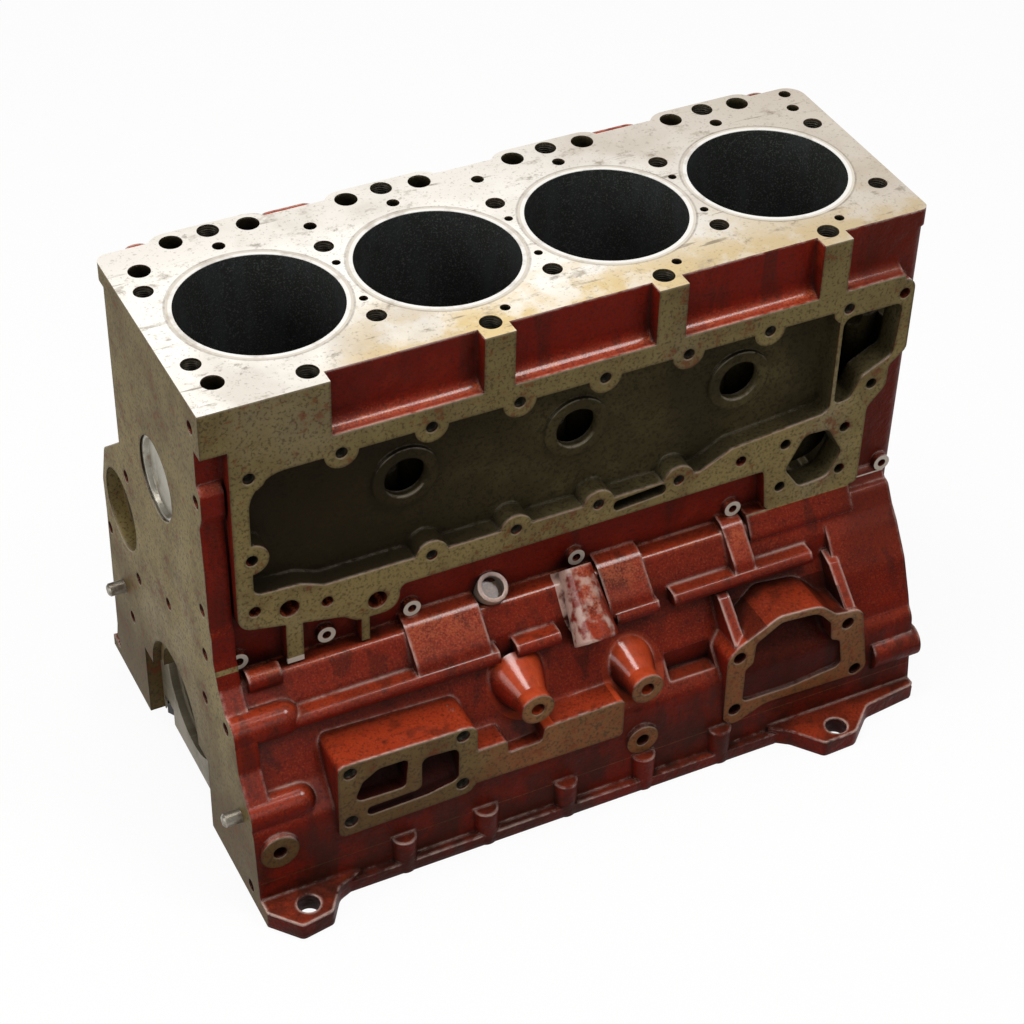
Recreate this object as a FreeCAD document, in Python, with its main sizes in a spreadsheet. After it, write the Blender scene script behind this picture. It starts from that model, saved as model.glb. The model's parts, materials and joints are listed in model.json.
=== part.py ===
"""Cast four-cylinder engine block with dry liners, main caps, cam bushes, core plugs and dowels.

The origin is on the crankshaft axis at mid-length. +X runs along the crankshaft, +Z up the
cylinders, and -Y is the side that carries the oil-cooler flange. All sizes are in millimetres.
"""
import FreeCAD, Part
import math
import os
import re
import Sketcher

Vector = FreeCAD.Vector
Rotation = FreeCAD.Rotation

# Driving dimensions: alias, value, what it is.
SIZES = [
    # Overall casting
    ("end_margin", 16, "casting beyond the line of the last main bearing, at each end"),
    ("deck_height", 324, "crank axis up to the head face"),
    ("rail_drop", 65, "crank axis down to the sump face"),
    ("bore_pitch", 126, "one cylinder to the next"),
    ("bore_radius", 56, "finished bore of a liner"),
    ("liner_wall", 2.5, "wall of a dry liner"),
    ("liner_length", 205, "liner, below the head face"),
    ("liner_flange", 2, "how far the liner's top flange stands out"),
    ("liner_flange_height", 6, "height of the liner's top flange"),
    ("barrel_wall", 5, "cast wall around a liner"),
    ("barrel_bottom", 112, "crank axis up to the foot of a barrel"),
    # Upper body
    ("deck_thickness", 14, "plate under the head face"),
    ("far_step", 11, "how far the crankcase stops short of the far end of the head face"),
    ("front_wall", 84, "crank plane to the outside of the front wall"),
    ("back_wall", 74, "crank plane to the outside of the back wall"),
    ("wall", 8, "side walls of the water jacket"),
    ("end_wall", 10, "end walls of the water jacket"),
    ("jacket_floor", 160, "crank axis up to the floor of the water jacket"),
    ("crankcase_roof", 148, "crank axis up to the roof of the crankcase"),
    ("deck_back", 94, "crank plane to the back edge of the head face"),
    ("machined_front", 95, "crank plane to the machined front plane"),
    ("end_flange_lip", 4, "how far an end flange stands out of the walls"),
    ("end_flange", 16, "thickness of an end flange"),
    ("pad_width", 22, "machined pad between two front recesses"),
    ("corner_pad", 88, "machined pad at the near corner, along the block"),
    ("recess_bottom", 281, "crank axis up to the foot of a front recess"),
    ("notch_top", 290, "crank axis up to the top of the notch beside the near end plate"),
    ("pushrod_block_width", 88, "bulge around a pair of pushrod holes"),
    ("pushrod_block_reach", 101, "crank plane to the outside of that bulge"),
    ("back_boss_reach", 114, "crank plane to the face of the bosses on the back wall"),
    ("pushrod_spread", 54.6, "between the two pushrods of a cylinder"),
    ("pushrod_y", 89, "crank plane to the pushrods"),
    ("pushrod_radius", 8, "pushrod hole"),
    # Crankcase section, front then back
    ("shoulder_z", 97, "top of the crankcase shoulder"),
    ("shoulder_y", 97, "front edge of the shoulder"),
    ("ridge_z", 73, "top of the long rib"),
    ("ridge_y", 123, "front of the long rib"),
    ("ridge_height", 8, "height of the long rib's front"),
    ("ridge_depth", 14, "how far the long rib stands out of the slope"),
    ("knuckle_z", 34, "height where the skirt starts to swell"),
    ("skirt_y", 150, "front of the skirt beside the crank axis"),
    ("rail_front", 163, "crank plane to the front edge of the sump rail"),
    ("rail_back", 145, "crank plane to the back edge of the sump rail"),
    ("rail_thickness", 10, "sump rail"),
    ("rail_column", 9, "column around a sump screw hole"),
    ("rail_hole", 4.2, "threaded hole in the sump rail"),
    ("rail_hole_depth", 18, "depth of those holes"),
    ("lug_height", 14, "thickness of a foot lug"),
    ("lug_hole", 8, "bolt hole in a foot lug"),
    ("skirt_back", 131, "crank plane to the outside of the back skirt"),
    ("skirt_wall", 9, "wall of the crankcase"),
    # Crankshaft and its caps
    ("web", 20, "bulkhead between two crank bays"),
    ("main_width", 32, "width of a main bearing seat"),
    ("main_radius", 40, "main bearing seat"),
    ("main_boss", 62, "boss around a main bearing seat"),
    ("seal_radius", 46, "recess around the crankshaft in an end face"),
    ("seal_depth", 6, "depth of that recess"),
    ("cap_wall", 5, "metal outside a main cap's bolt hole"),
    ("cap_height", 50, "crank axis down to the seat of the cap bolts"),
    ("cap_fit", 0.1, "clearance each side of a cap in its seat"),
    ("cap_inset", 11, "how far the near cap sits behind its end face"),
    ("cap_bolt_y", 52, "crank plane to a cap bolt"),
    ("cap_bolt_radius", 7, "cap bolt shank"),
    ("cap_bolt_depth", 45, "cap bolt, above the joint"),
    ("cap_bolt_head", 10, "height of a cap bolt head"),
    ("cap_bolt_flats", 21, "across the flats of a cap bolt head"),
    ("bolt_fit", 0.25, "clearance around a cap bolt"),
    ("spot_radius", 14, "counterbore around a cap bolt head"),
    ("web_foot", 28, "crank axis down to the foot of a bulkhead"),
    # Camshaft
    ("cam_y", 89, "crank plane to the cam axis"),
    ("cam_z", 112, "crank axis up to the cam axis"),
    ("cam_seat", 31, "seat of a cam bush"),
    ("cam_bore", 28, "bore of a cam bush"),
    ("cam_bush_length", 20, "cam bush"),
    ("cam_boss", 41, "boss around a cam seat"),
    # Oil-cooler flange
    ("flange_top", 281, "crank axis up to the top edge of the flange"),
    ("flange_foot", 141, "crank axis up to the bottom edge of the flange"),
    ("flange_left", 250, "mid-length to the near end of the flange"),
    ("flange_right", 257, "mid-length to the far end of the flange"),
    ("cavity_top", 265, "crank axis up to the top of the cooler cavity"),
    ("cavity_foot", 159, "crank axis up to the foot of the cooler cavity"),
    ("cavity_left", 238, "mid-length to the near end of the cooler cavity"),
    ("cavity_right", 198, "mid-length to the far end of the cooler cavity"),
    ("cavity_back", 80, "crank plane to the back wall of the cavity"),
    ("port_radius", 15.5, "water port in the back wall of the cavity"),
    ("port_z", 219, "crank axis up to those ports"),
    ("port_ring", 24, "raised ring around a water port"),
    ("port_ring_height", 2.5, "height of that ring"),
    ("flange_screw", 4.2, "threaded hole in the flange"),
    ("flange_screw_depth", 18, "depth of those holes"),
    ("flange_boss", 12, "boss around a flange hole"),
    ("flange_pitch", 63, "between flange holes"),
    ("upper_screw_z", 265.5, "crank axis up to the upper row of holes"),
    ("lower_screw_z", 157, "crank axis up to the lower row of holes"),
    ("outlet_back", 35, "crank plane to the back of the water outlet chamber"),
    # Side pads
    ("pad_plane", 155, "crank plane to the face of the side pads"),
    ("filter_left", 208, "mid-length to the near edge of the filter pad"),
    ("filter_right", 107, "mid-length to the far edge of the filter pad"),
    ("filter_top", 51, "crank axis up to the top of the filter pad"),
    ("filter_foot", 17, "crank axis down to the foot of the filter pad"),
    ("strip_top", 24, "crank axis up to the top of the machined strip"),
    ("strip_foot", 10, "crank axis down to the foot of the strip"),
    ("strip_end", 11, "mid-length to the far end of the strip"),
    ("bracket_hole", 5, "threaded hole in a bracket boss or side pad"),
    ("bracket_hole_depth", 21, "depth of those holes"),
    ("inner_boss", 9.5, "boss inside the skirt around the foot of such a hole"),
    ("bracket_boss", 12.5, "radius of a bracket boss"),
    ("far_boss", 12.5, "boss along the far end of the skirt"),
    ("near_boss", 12.5, "bosses along the near end of the skirt"),
    ("near_boss_length", 38, "length of those bosses"),
    ("near_ring", 14, "ring boss beside the near lug"),
    ("tube_top", 12, "radius of the slanted boss at its top"),
    ("tube_mouth", 16.5, "radius of the slanted boss at its mouth"),
    ("tube_length", 54, "length of the slanted boss"),
    ("tube_bore", 12, "hole in the slanted boss"),
    ("tube_bore_depth", 24, "depth of that hole"),
    ("plug_boss", 11, "short boss on the shoulder"),
    ("plug_bore", 8, "hole in that boss"),
    ("ring_boss", 6.5, "small ring bosses under the flange"),
    ("ring_hole", 3.2, "hole in a small ring boss"),
    ("ring_z", 108.5, "crank axis up to the small ring bosses"),
    ("ring_proud", 5, "how far a small ring boss stands out of the wall"),
    ("mount_foot", 32, "crank axis down to the foot of the mount pad"),
    # Plugs, pins and deck holes
    ("end_plug_radius", 30, "core plug in an end face"),
    ("end_plug_z", 206, "crank axis up to the end core plugs"),
    ("side_plug_radius", 15, "core plug in the back wall"),
    ("side_plug_z", 235, "crank axis up to the back core plugs"),
    ("plug_wall", 2.2, "sheet of a core plug"),
    ("plug_depth", 7, "depth of a core plug"),
    ("plug_inset", 1.5, "how far a core plug sits below its face"),
    ("pin_radius", 5, "end face dowel"),
    ("pin_length", 27, "end face dowel"),
    ("pin_proud", 13, "how far an end face dowel stands out"),
    ("head_bolt", 6.8, "threaded head bolt hole"),
    ("head_bolt_outer", 7.6, "threaded head bolt hole in the outer rows"),
    ("head_bolt_y", 43, "crank plane to the inner rows of head bolts"),
    ("head_bolt_front", 80, "crank plane to the front outer row"),
    ("head_bolt_back", 92, "crank plane to the back outer row"),
    ("head_bolt_depth", 45, "depth of the head bolt holes"),
    ("bolt_column", 13, "column around a head bolt hole"),
    ("water_hole", 4.5, "water hole in the head face"),
    ("end_passage", 7.7, "water passage at the near corners of the head face"),
    ("steam_hole", 3, "small hole between two bores"),
    ("steam_hole_y", 22.3, "crank plane to those holes"),
    ("dowel_hole", 3.5, "small hole at the front edge of the head face"),
    ("dowel_hole_y", 69.3, "crank plane to those holes"),
    ("end_hole", 4.6, "threaded hole in the near end face"),
    ("end_hole_depth", 20, "depth of those holes"),
    ("cove", 11, "hollow round at the foot of a front recess"),
    ("water_hole_y", 72, "crank plane to the back row of water holes"),
]
ALIASES = {alias for alias, value, meaning in SIZES}
CYLINDERS = (-1.5, -0.5, 0.5, 1.5)
MAINS = (-2, -1, 0, 1, 2)

doc = FreeCAD.newDocument("engine_block")
sheet = doc.addObject("Spreadsheet::Sheet", "Sizes")
for row, (alias, value, meaning) in enumerate(SIZES, start=1):
    sheet.set(f"A{row}", meaning)
    sheet.set(f"B{row}", str(value))
    sheet.setAlias(f"B{row}", alias)
doc.recompute()


def formula(text):
    """A formula in which each named size points at its cell of the sheet."""
    def cell(match):
        word = match.group(0)
        return f"Sizes.{word}" if word in ALIASES else word
    return re.sub(r"[a-z][a-z_]+", cell, str(text))


def number(text):
    """What a formula comes to with the sheet as it stands."""
    return float(sheet.evalExpression(formula(text)))


def bind(thing, **formulas):
    """Tie properties of an object to formulas."""
    for name, text in formulas.items():
        thing.setExpression(name, formula(text))
    return thing


# Turns that carry an object's own +Z to a direction of the block.
TURNS = {
    "+z": Rotation(),
    "-z": Rotation(Vector(1, 0, 0), 180),
    "+x": Rotation(Vector(0, 1, 0), 90),
    "-x": Rotation(Vector(0, 1, 0), -90),
    "+y": Rotation(Vector(1, 0, 0), -90),
    "-y": Rotation(Vector(1, 0, 0), 90),
}
# Turns that lay a drawing in a plane of the block, seen along the axis that it is extruded on.
PLAN = Rotation()
SECTION = Rotation(Vector(1, 1, 1), 120)
FRONT = Rotation(Vector(1, 0, 0), 90)


def place(thing, at, turn=Rotation()):
    """Put an object at a point given by three formulas, turned by a fixed rotation."""
    thing.Placement = FreeCAD.Placement(Vector(), turn)
    for axis, text in zip("xyz", at):
        thing.setExpression(f"Placement.Base.{axis}", formula(text))
    return thing


def box(low, high):
    """A block between two opposite corners."""
    block = doc.addObject("Part::Box", "Block")
    bind(block, Length=f"({high[0]}) - ({low[0]})", Width=f"({high[1]}) - ({low[1]})",
         Height=f"({high[2]}) - ({low[2]})")
    return place(block, low)


def rod(at, toward, radius, length):
    """A cylinder from a point along a direction."""
    cylinder = doc.addObject("Part::Cylinder", "Rod")
    bind(cylinder, Radius=radius, Height=length)
    return place(cylinder, at, TURNS[toward])


def cone(at, toward, radius, end_radius, length):
    """A cone frustum from a point along a direction."""
    frustum = doc.addObject("Part::Cone", "Cone")
    bind(frustum, Radius1=radius, Radius2=end_radius, Height=length)
    return place(frustum, at, TURNS[toward])


def ball(at, radius):
    """A sphere about a point."""
    sphere = doc.addObject("Part::Sphere", "Ball")
    bind(sphere, Radius=radius)
    return place(sphere, at)


def join(name, things):
    """The union of several objects."""
    union = doc.addObject("Part::MultiFuse", name)
    union.Shapes = things
    return union


def cut(name, base, tool):
    """One object less another."""
    rest = doc.addObject("Part::Cut", name)
    rest.Base = base
    rest.Tool = tool
    return rest


def draw(sketch, corners):
    """Draw a closed outline of straight sides, each corner (across, up) or (across, up, radius).

    A corner with a radius is a tangent arc, and its two sides still aim at the corner point.
    """
    count = len(corners)
    spots = [Vector(number(c[0]), number(c[1]), 0) for c in corners]
    radii = [number(c[2]) if len(c) > 2 else 0 for c in corners]
    arrive, leave, arcs = [], [], []
    for i, spot in enumerate(spots):
        back = (spots[i - 1] - spot).normalize()
        onward = (spots[(i + 1) % count] - spot).normalize()
        half = back.getAngle(onward) / 2
        arrive.append(spot + back * (radii[i] / math.tan(half)))
        leave.append(spot + onward * (radii[i] / math.tan(half)))
        centre = spot + (back + onward).normalize() * (radii[i] / math.sin(half))
        left_turn = onward.cross(back).z > 0
        arcs.append((centre, left_turn))
    sides = [Part.LineSegment(leave[i], arrive[(i + 1) % count]) for i in range(count)]
    sketch.addGeometry(sides, False)
    rules, ties = [], []
    for i, spot in enumerate(spots):
        last = (i - 1) % count
        anchor = i
        if radii[i]:
            centre, left_turn = arcs[i]
            first, second = (arrive[i], leave[i]) if left_turn else (leave[i], arrive[i])
            angles = [math.atan2(p.y - centre.y, p.x - centre.x) for p in (first, second)]
            circle = Part.Circle(centre, Vector(0, 0, 1), radii[i])
            arc = sketch.addGeometry(Part.ArcOfCircle(circle, *angles), False)
            anchor = sketch.addGeometry(Part.Point(spot), True)
            near, far = (1, 2) if left_turn else (2, 1)
            rules.append(Sketcher.Constraint("Tangent", last, 2, arc, near))
            rules.append(Sketcher.Constraint("Tangent", arc, far, i, 1))
            rules.append(Sketcher.Constraint("PointOnObject", anchor, 1, last))
            rules.append(Sketcher.Constraint("PointOnObject", anchor, 1, i))
            ties.append((len(rules), corners[i][2]))
            rules.append(Sketcher.Constraint("Radius", arc, radii[i]))
        else:
            rules.append(Sketcher.Constraint("Coincident", last, 2, i, 1))
        ties.append((len(rules), corners[i][0]))
        rules.append(Sketcher.Constraint("DistanceX", -1, 1, anchor, 1, spot.x))
        ties.append((len(rules), corners[i][1]))
        rules.append(Sketcher.Constraint("DistanceY", -1, 1, anchor, 1, spot.y))
    sketch.addConstraint(rules)
    for index, text in ties:
        sketch.setExpression(f"Constraints[{index}]", formula(text))


def prism(name, turn, corners, start, length):
    """An outline laid in a plane and extruded along the plane's normal from a start height."""
    sketch = doc.addObject("Sketcher::SketchObject", f"{name}_outline")
    draw(sketch, corners)
    normal = turn.multVec(Vector(0, 0, 1))
    place(sketch, [f"({start}) * {part:.0f}" for part in normal], turn)
    solid = doc.addObject("Part::Extrusion", name)
    solid.Base = sketch
    solid.DirMode = "Normal"
    solid.Solid = True
    bind(solid, LengthFwd=length)
    return solid


def new_body(label):
    """An empty body with the label that names its file."""
    body = doc.addObject("PartDesign::Body", label)
    body.Label = label
    return body


def sketch_on(body, role, name, corners):
    """A closed outline on one of a body's own origin planes."""
    sketch = body.newObject("Sketcher::SketchObject", name)
    plane = [f for f in body.Origin.OriginFeatures if f.Role == role][0]
    sketch.AttachmentSupport = [(plane, "")]
    sketch.MapMode = "FlatFace"
    draw(sketch, corners)
    return sketch


def turned(label, corners):
    """A body revolved about its own Z axis from a half outline of (radius, height) corners."""
    body = new_body(label)
    sketch = sketch_on(body, "XZ_Plane", f"{label}_half", corners)
    ring = body.newObject("PartDesign::Revolution", f"{label}_turned")
    ring.Profile = sketch
    ring.ReferenceAxis = (sketch, ["V_Axis"])
    ring.Angle = 360
    body.Tip = ring
    return body


# ---------------------------------------------------------------- casting, outside

def across(index):
    """X of a place counted in bore pitches from mid-length."""
    return f"{index} * bore_pitch"


END = "(2 * bore_pitch + end_margin)"
SPAN = f"2 * {END}"
CASE_END = f"({END} - far_step)"
CASE_SPAN = f"{SPAN} - far_step"
CAP_HALF = "(cap_bolt_y + cap_bolt_radius + cap_wall)"


def upper_body():
    """Walls from the crankcase up to the head face, with the pushrod bulges at the back."""
    r = "14"
    walls = prism("UpperBody", PLAN, [
        (f"-{END}", "-front_wall", "4"), (END, "-front_wall", "10"), (END, "back_wall", r),
        (f"-{END}", "back_wall", r)], "shoulder_z - 10", "deck_height - shoulder_z + 10")
    deck = prism("Deck", PLAN, [
        (f"-{END}", "-front_wall", "2"), (END, "-front_wall", "6"), (END, "deck_back", r),
        (f"-{END}", "deck_back", "8")], "deck_height - deck_thickness", "deck_thickness")
    parts = [walls, deck]
    for i in CYLINDERS:
        left = f"{across(i)} - pushrod_block_width / 2"
        right = f"{across(i)} + pushrod_block_width / 2"
        parts.append(prism("PushrodBlock", PLAN, [
            (left, "back_wall - 5"), (right, "back_wall - 5"),
            (right, "pushrod_block_reach", "16"), (left, "pushrod_block_reach", "16")],
            "cam_z + 20", "deck_height - cam_z - 20"))
    parts.append(prism("EndFlange", SECTION, [
        ("back_wall + end_flange_lip", "deck_height - 3"), ("-front_wall", "deck_height - 3"),
        ("-front_wall", "262"), ("-front_wall - 6", "256", "3"), ("-front_wall - 6", "239", "4"),
        ("-front_wall - 1", "228", "6"), ("-front_wall - 4", "190", "20"),
        ("-front_wall - 5", "145", "6"), ("-front_wall - 8", "138", "4"),
        ("-front_wall - 8", "118", "8"), ("-shoulder_y - 2", "shoulder_z", "8"),
        ("-ridge_y + 14", "shoulder_z - 14", "6"), ("-ridge_y - 2", "ridge_z - 7", "5"),
        ("-ridge_y - 5", "46", "6"), ("-skirt_y + 9", "26", "8"), ("-skirt_y + 2", "4", "8"),
        ("-skirt_y", "-25", "20"), ("-skirt_y - 2", "-47", "6"), ("-rail_front + 5", "-60", "4"),
        ("-rail_front", "-rail_drop"), ("0", "-rail_drop"), ("0", "60"),
        ("back_wall + end_flange_lip", "shoulder_z - 12")], f"-{END}", "end_flange"))
    for k in (-2, -1, 1, 2):
        inset = {-2: "+ 18", 2: "- 8"}.get(k, "")
        half = 20 if k in (-1, 1) else 9
        parts.append(prism("BackBoss", PLAN, [
            (f"{across(k)} {inset} - {half}", "back_wall - 5"),
            (f"{across(k)} {inset} + {half}", "back_wall - 5"),
            (f"{across(k)} {inset} + {half}", "back_boss_reach", "8"),
            (f"{across(k)} {inset} - {half}", "back_boss_reach", "8")],
            "deck_height - 44", "32"))
    return parts


def crankcase_outline():
    """Outside of the crankcase as seen from the end: shoulder, slope, swelling skirt."""
    return [
        ("-front_wall + 20", "shoulder_z"),
        ("-shoulder_y", "shoulder_z", "6"),
        ("-ridge_y + ridge_depth", "ridge_z + 4", "6"),
        ("-ridge_y + ridge_depth - 5", "ridge_z - ridge_height - 6", "4"),
        ("-ridge_y - 1", "knuckle_z + 8", "8"),
        ("-ridge_y - 10", "knuckle_z - 8", "8"),
        ("-skirt_y", "6", "14"),
        ("-rail_front + 9", "-rail_drop / 2", "12"),
        ("-rail_front + 5", "-rail_drop"),
        ("rail_back - 6", "-rail_drop"),
        ("skirt_back", "-rail_drop / 2", "10"),
        ("skirt_back - 4", "cam_z - 30", "20"),
        ("cam_y + cam_boss - 2", "cam_z", "12"),
        ("cam_y + 28", "cam_z + 36", "12"),
        ("back_wall", "cam_z + 72", "10"),
        ("back_wall - 20", "cam_z + 72"),
    ]


RIDGES = (("-232", "-71"), ("-58", "-24"), ("20", "54"), ("66", "180"))
BULGES = (("-132", "-76"), ("16", "51"), ("117", "134"))


def side_ribs():
    """The long rib with its gaps, the bulges over it and the swelling at both ends."""
    forms = []
    for left, right in RIDGES:
        forms.append(prism("Ridge", SECTION, [
            ("-shoulder_y + 3", "ridge_z + 2"), ("-ridge_y + 3", "ridge_z + 1", "2.5"),
            ("-ridge_y", "ridge_z - 3", "2.5"), ("-ridge_y", "ridge_z - ridge_height", "2"),
            ("-shoulder_y + 3", "ridge_z - ridge_height - 2")], left, f"{right} - ({left})"))
    for left, right in BULGES:
        forms.append(prism("Bulge", SECTION, [
            ("-front_wall + 5", "shoulder_z + 6"), ("-shoulder_y + 3", "shoulder_z + 4", "12"),
            ("-ridge_y + 7", "ridge_z + 8", "10"), ("-ridge_y + 2", "ridge_z - 2"),
            ("-front_wall + 5", "ridge_z - 2")], left, f"{right} - ({left})"))
    forms.append(prism("FarSwelling", SECTION, [
        ("-front_wall + 5", "shoulder_z + 12"), ("-front_wall - 2", "shoulder_z + 8", "10"),
        ("-ridge_y + 9", "ridge_z", "20"), ("-ridge_y - 7", "ridge_z - 24", "30"),
        ("-skirt_y + 8", "20", "20"), ("-skirt_y + 1", "-2", "20"), ("-skirt_y + 1", "-20"),
        ("-front_wall + 5", "-20")], "198", f"{CASE_END} - 198"))
    forms.append(prism("UnderPort", SECTION, [
        ("-front_wall + 5", "104"), ("-machined_front", "104"),
        ("-ridge_y + 14", "shoulder_z - 16", "6"), ("-front_wall + 5", "shoulder_z - 16")],
        "137", "86"))
    for y, z in NEAR_BOSSES:
        forms.append(rod((f"-{END}", y, z), "+x", "near_boss", "near_boss_length"))
        forms.append(ball((f"-{END} + near_boss_length", y, z), "near_boss"))
    forms.append(rod(("-248", "-shoulder_y + 1", "shoulder_z - 1"), "+x", "8", "24"))
    return forms


NEAR_BOSSES = (("-ridge_y + 11", "ridge_z - 3"), ("-skirt_y + 14", "14"))


def crankcase():
    """The wide lower half of the casting, from end face to end face, with its sump rail."""
    case = prism("Crankcase", SECTION, crankcase_outline(), f"-{END}", CASE_SPAN)
    front_rail = box((f"-{END}", "-rail_front", "-rail_drop"),
                     (CASE_END, "-rail_front + 20", "-rail_drop + rail_thickness"))
    back_rail = box((f"-{END}", "rail_back - 20", "-rail_drop"),
                    (CASE_END, "rail_back", "-rail_drop + rail_thickness"))
    columns = [rod((x, "-rail_front + rail_column - 1", "-rail_drop"), "+z", "rail_column", "30")
               for x in RAIL_SCREWS]
    return [case, front_rail, back_rail, *columns]


RAIL_SCREWS = tuple(f"-160 + {n} * flange_pitch" for n in range(5))


def foot_lugs():
    """Two bolt lugs that stand out of the sump rail."""
    near = prism("NearLug", PLAN, [
        (f"-{END}", "-rail_front + 14"), (f"-{END}", "-rail_front - 5", "3"),
        (f"-{END} + 18", "-rail_front - 26", "5"), (f"-{END} + 42", "-rail_front - 22", "5"),
        (f"-{END} + 54", "-rail_front - 4", "10"), (f"-{END} + 74", "-rail_front + 4"),
        (f"-{END} + 74", "-rail_front + 14")],
        "-rail_drop", "lug_height")
    far = prism("FarLug", PLAN, [
        (f"{CASE_END} - 124", "-rail_front + 4"), (f"{CASE_END} - 110", "-rail_front - 6", "8"),
        (f"{CASE_END} - 93", "-rail_front - 27", "5"), (f"{CASE_END} - 66", "-rail_front - 26", "8"),
        (f"{CASE_END} - 44", "-rail_front - 6", "10"), (CASE_END, "-rail_front - 1", "3"),
        (CASE_END, "-rail_front + 14"), (f"{CASE_END} - 124", "-rail_front + 14")],
        "-rail_drop", "lug_height")
    return [near, far]


LUG_HOLES = (("-239", "-172"), ("180", "-178"))


def deck_pads():
    """Machined pads between the front recesses, flush with the flange."""
    pads = [box((f"-{END}", "-machined_front", "notch_top"),
                (f"-{END} + corner_pad", "-front_wall + 5", "deck_height")),
            box(("-flange_left", "-machined_front", "recess_bottom - 6"),
                (f"-{END} + corner_pad", "-front_wall + 5", "deck_height"))]
    for i in (-0.5, 0.5, 1.5):
        pads.append(box((f"{across(i)} - pad_width / 2", "-machined_front", "recess_bottom - 6"),
                        (f"{across(i)} + pad_width / 2", "-front_wall + 5", "deck_height")))
    pads.append(prism("RecessCove", SECTION, [
        ("-front_wall + 5", "recess_bottom - 6"), ("-machined_front", "recess_bottom - 6"),
        ("-machined_front", "recess_bottom"), ("-front_wall", "recess_bottom", "cove - 0.5"),
        ("-front_wall", "recess_bottom + cove + 1"), ("-front_wall + 5", "recess_bottom + cove + 1")],
        f"-{END} + corner_pad - 2", f"{SPAN} - corner_pad - 18"))
    return pads


def cooler_flange():
    """The raised plate around the oil-cooler cavity, with the port pad at its far foot."""
    plate = prism("FlangePlate", FRONT, [
        ("-flange_left", "flange_top"), ("-flange_left", "flange_foot", "12"),
        ("-176", "flange_foot - 15", "10"), ("-166", "flange_foot - 22", "6"),
        ("-136", "flange_foot - 22", "12"), ("-134", "flange_foot - 2", "6"),
        ("148", "flange_foot", "3"), ("152", "104", "5"), ("230", "104", "5"),
        ("230", "172", "8"), ("244", "188", "10"), ("244", "205", "6"),
        ("flange_right", "216", "8"), ("flange_right", "flange_top - 4", "10"),
        ("200", "flange_top")],
        "front_wall - 5", "machined_front - front_wall + 5")
    stems = [box((left, "-machined_front", "shoulder_z + 2"), (right, "-front_wall + 5", top))
             for left, right, top in (("-217", "-205", "flange_foot"), ("-163", "-157", "124"))]
    rings = []
    for k in (-4, -3, -2, 0, 2, 4):
        rings.append(rod((f"{k} * flange_pitch + 3", "-front_wall + 2", "ring_z"), "-y",
                         "ring_boss", "ring_proud + 2"))
    return [plate, *stems, *rings]


def side_pads():
    """Filter pad with its strip, mount pad, and bracket bosses, all to one machined plane."""
    depth = "pad_plane - ridge_y + 12"
    start = "ridge_y - 12"
    filter_pad = prism("FilterPad", FRONT, [
        ("-filter_left", "-filter_foot", "6"), ("-filter_left + 98", "-filter_foot + 2", "8"),
        ("-filter_right + 3", "-strip_foot + 2", "6"), ("-filter_right + 3", "filter_top - 3", "8"),
        ("-filter_left", "filter_top", "6")], start, depth)
    slot = prism("FilterSlot", FRONT, [
        ("-197", "13", "5"), ("-158", "12", "4"), ("-156", "38", "4"), ("-178", "38", "8"),
        ("-190", "30", "5")], "pad_plane - 26", "27")
    passage = prism("FilterPassage", FRONT, [
        ("-188", "-4", "4"), ("-142", "-3", "4"), ("-118", "2", "6"), ("-118", "32", "6"),
        ("-146", "34", "6"), ("-146", "5", "5"), ("-186", "4", "3")], "pad_plane - 26", "27")
    strip = prism("Strip", FRONT, [
        ("-filter_right - 2", "-strip_foot + 2"), ("strip_end", "-strip_foot", "4"),
        ("strip_end", "strip_top + 1", "4"), ("-52", "strip_top", "3"),
        ("-54", "strip_top - 12", "3"), ("-80", "strip_top - 13", "3"),
        ("-81", "strip_top - 1", "2"), ("-filter_right - 2", "strip_top - 1")],
        start, depth)
    mount = prism("MountPad", FRONT, [
        ("95", "-mount_foot + 2", "6"), ("103", "-mount_foot - 7", "8"),
        ("130", "-mount_foot + 5", "20"), ("200", "-mount_foot + 3", "20"),
        ("218", "-mount_foot + 1", "9"), ("207", "36", "9"), ("184", "40", "4"),
        ("170", "53", "20"), ("135", "56", "12"), ("104", "39", "8"), ("94", "28", "8")],
        start, depth)
    window = prism("MountWindow", FRONT, [
        ("110", "-18", "5"), ("150", "-19", "20"), ("194", "-14", "6"), ("190", "12", "6"),
        ("182", "16", "4"), ("180", "33", "4"), ("168", "47", "16"), ("137", "50", "10"),
        ("117", "37", "5"), ("116", "18", "5"), ("110", "14", "5")], "ridge_y - 20", "60")
    ribs = []
    for left, wide in (("101", "9"), ("193", "9")):
        ribs.append(prism("MountRib", SECTION, [
            ("-ridge_y + 10", "ridge_z - 8"), ("-ridge_y - 2", "ridge_z - 12", "4"),
            ("-pad_plane + 3", "38"), ("-pad_plane + 3", "20"), ("-ridge_y + 10", "20")],
            left, wide))
    bosses = []
    for x, z in BRACKET_HOLES:
        bosses.append(cone((x, "-ridge_y + 6", z), "-y", "bracket_boss + 10", "bracket_boss",
                           "pad_plane - ridge_y - 4"))
        bosses.append(rod((x, "-ridge_y", z), "-y", "bracket_boss", "pad_plane - ridge_y"))
    far_boss = rod(("222", "-pad_plane + 8", "-20"), "+x", "far_boss", f"{CASE_END} - 217")
    near_ring = rod(("-251", "-skirt_y + 20", "-12"), "-y", "near_ring", "24")
    plug_boss = turn_to(rod((PLUG_X, "-front_wall + 2", "shoulder_z - 4"), "+z", "plug_boss",
                            "20"), PLUG_LEAN)
    return [cut("FilterPadOpen", filter_pad, join("FilterPorts", [slot, passage])), strip,
            cut("MountPadOpen", mount, window), *ribs, *bosses, far_boss, near_ring,
            slanted_boss("tube_top", "tube_mouth", "0", "tube_length"), plug_boss]


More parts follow.
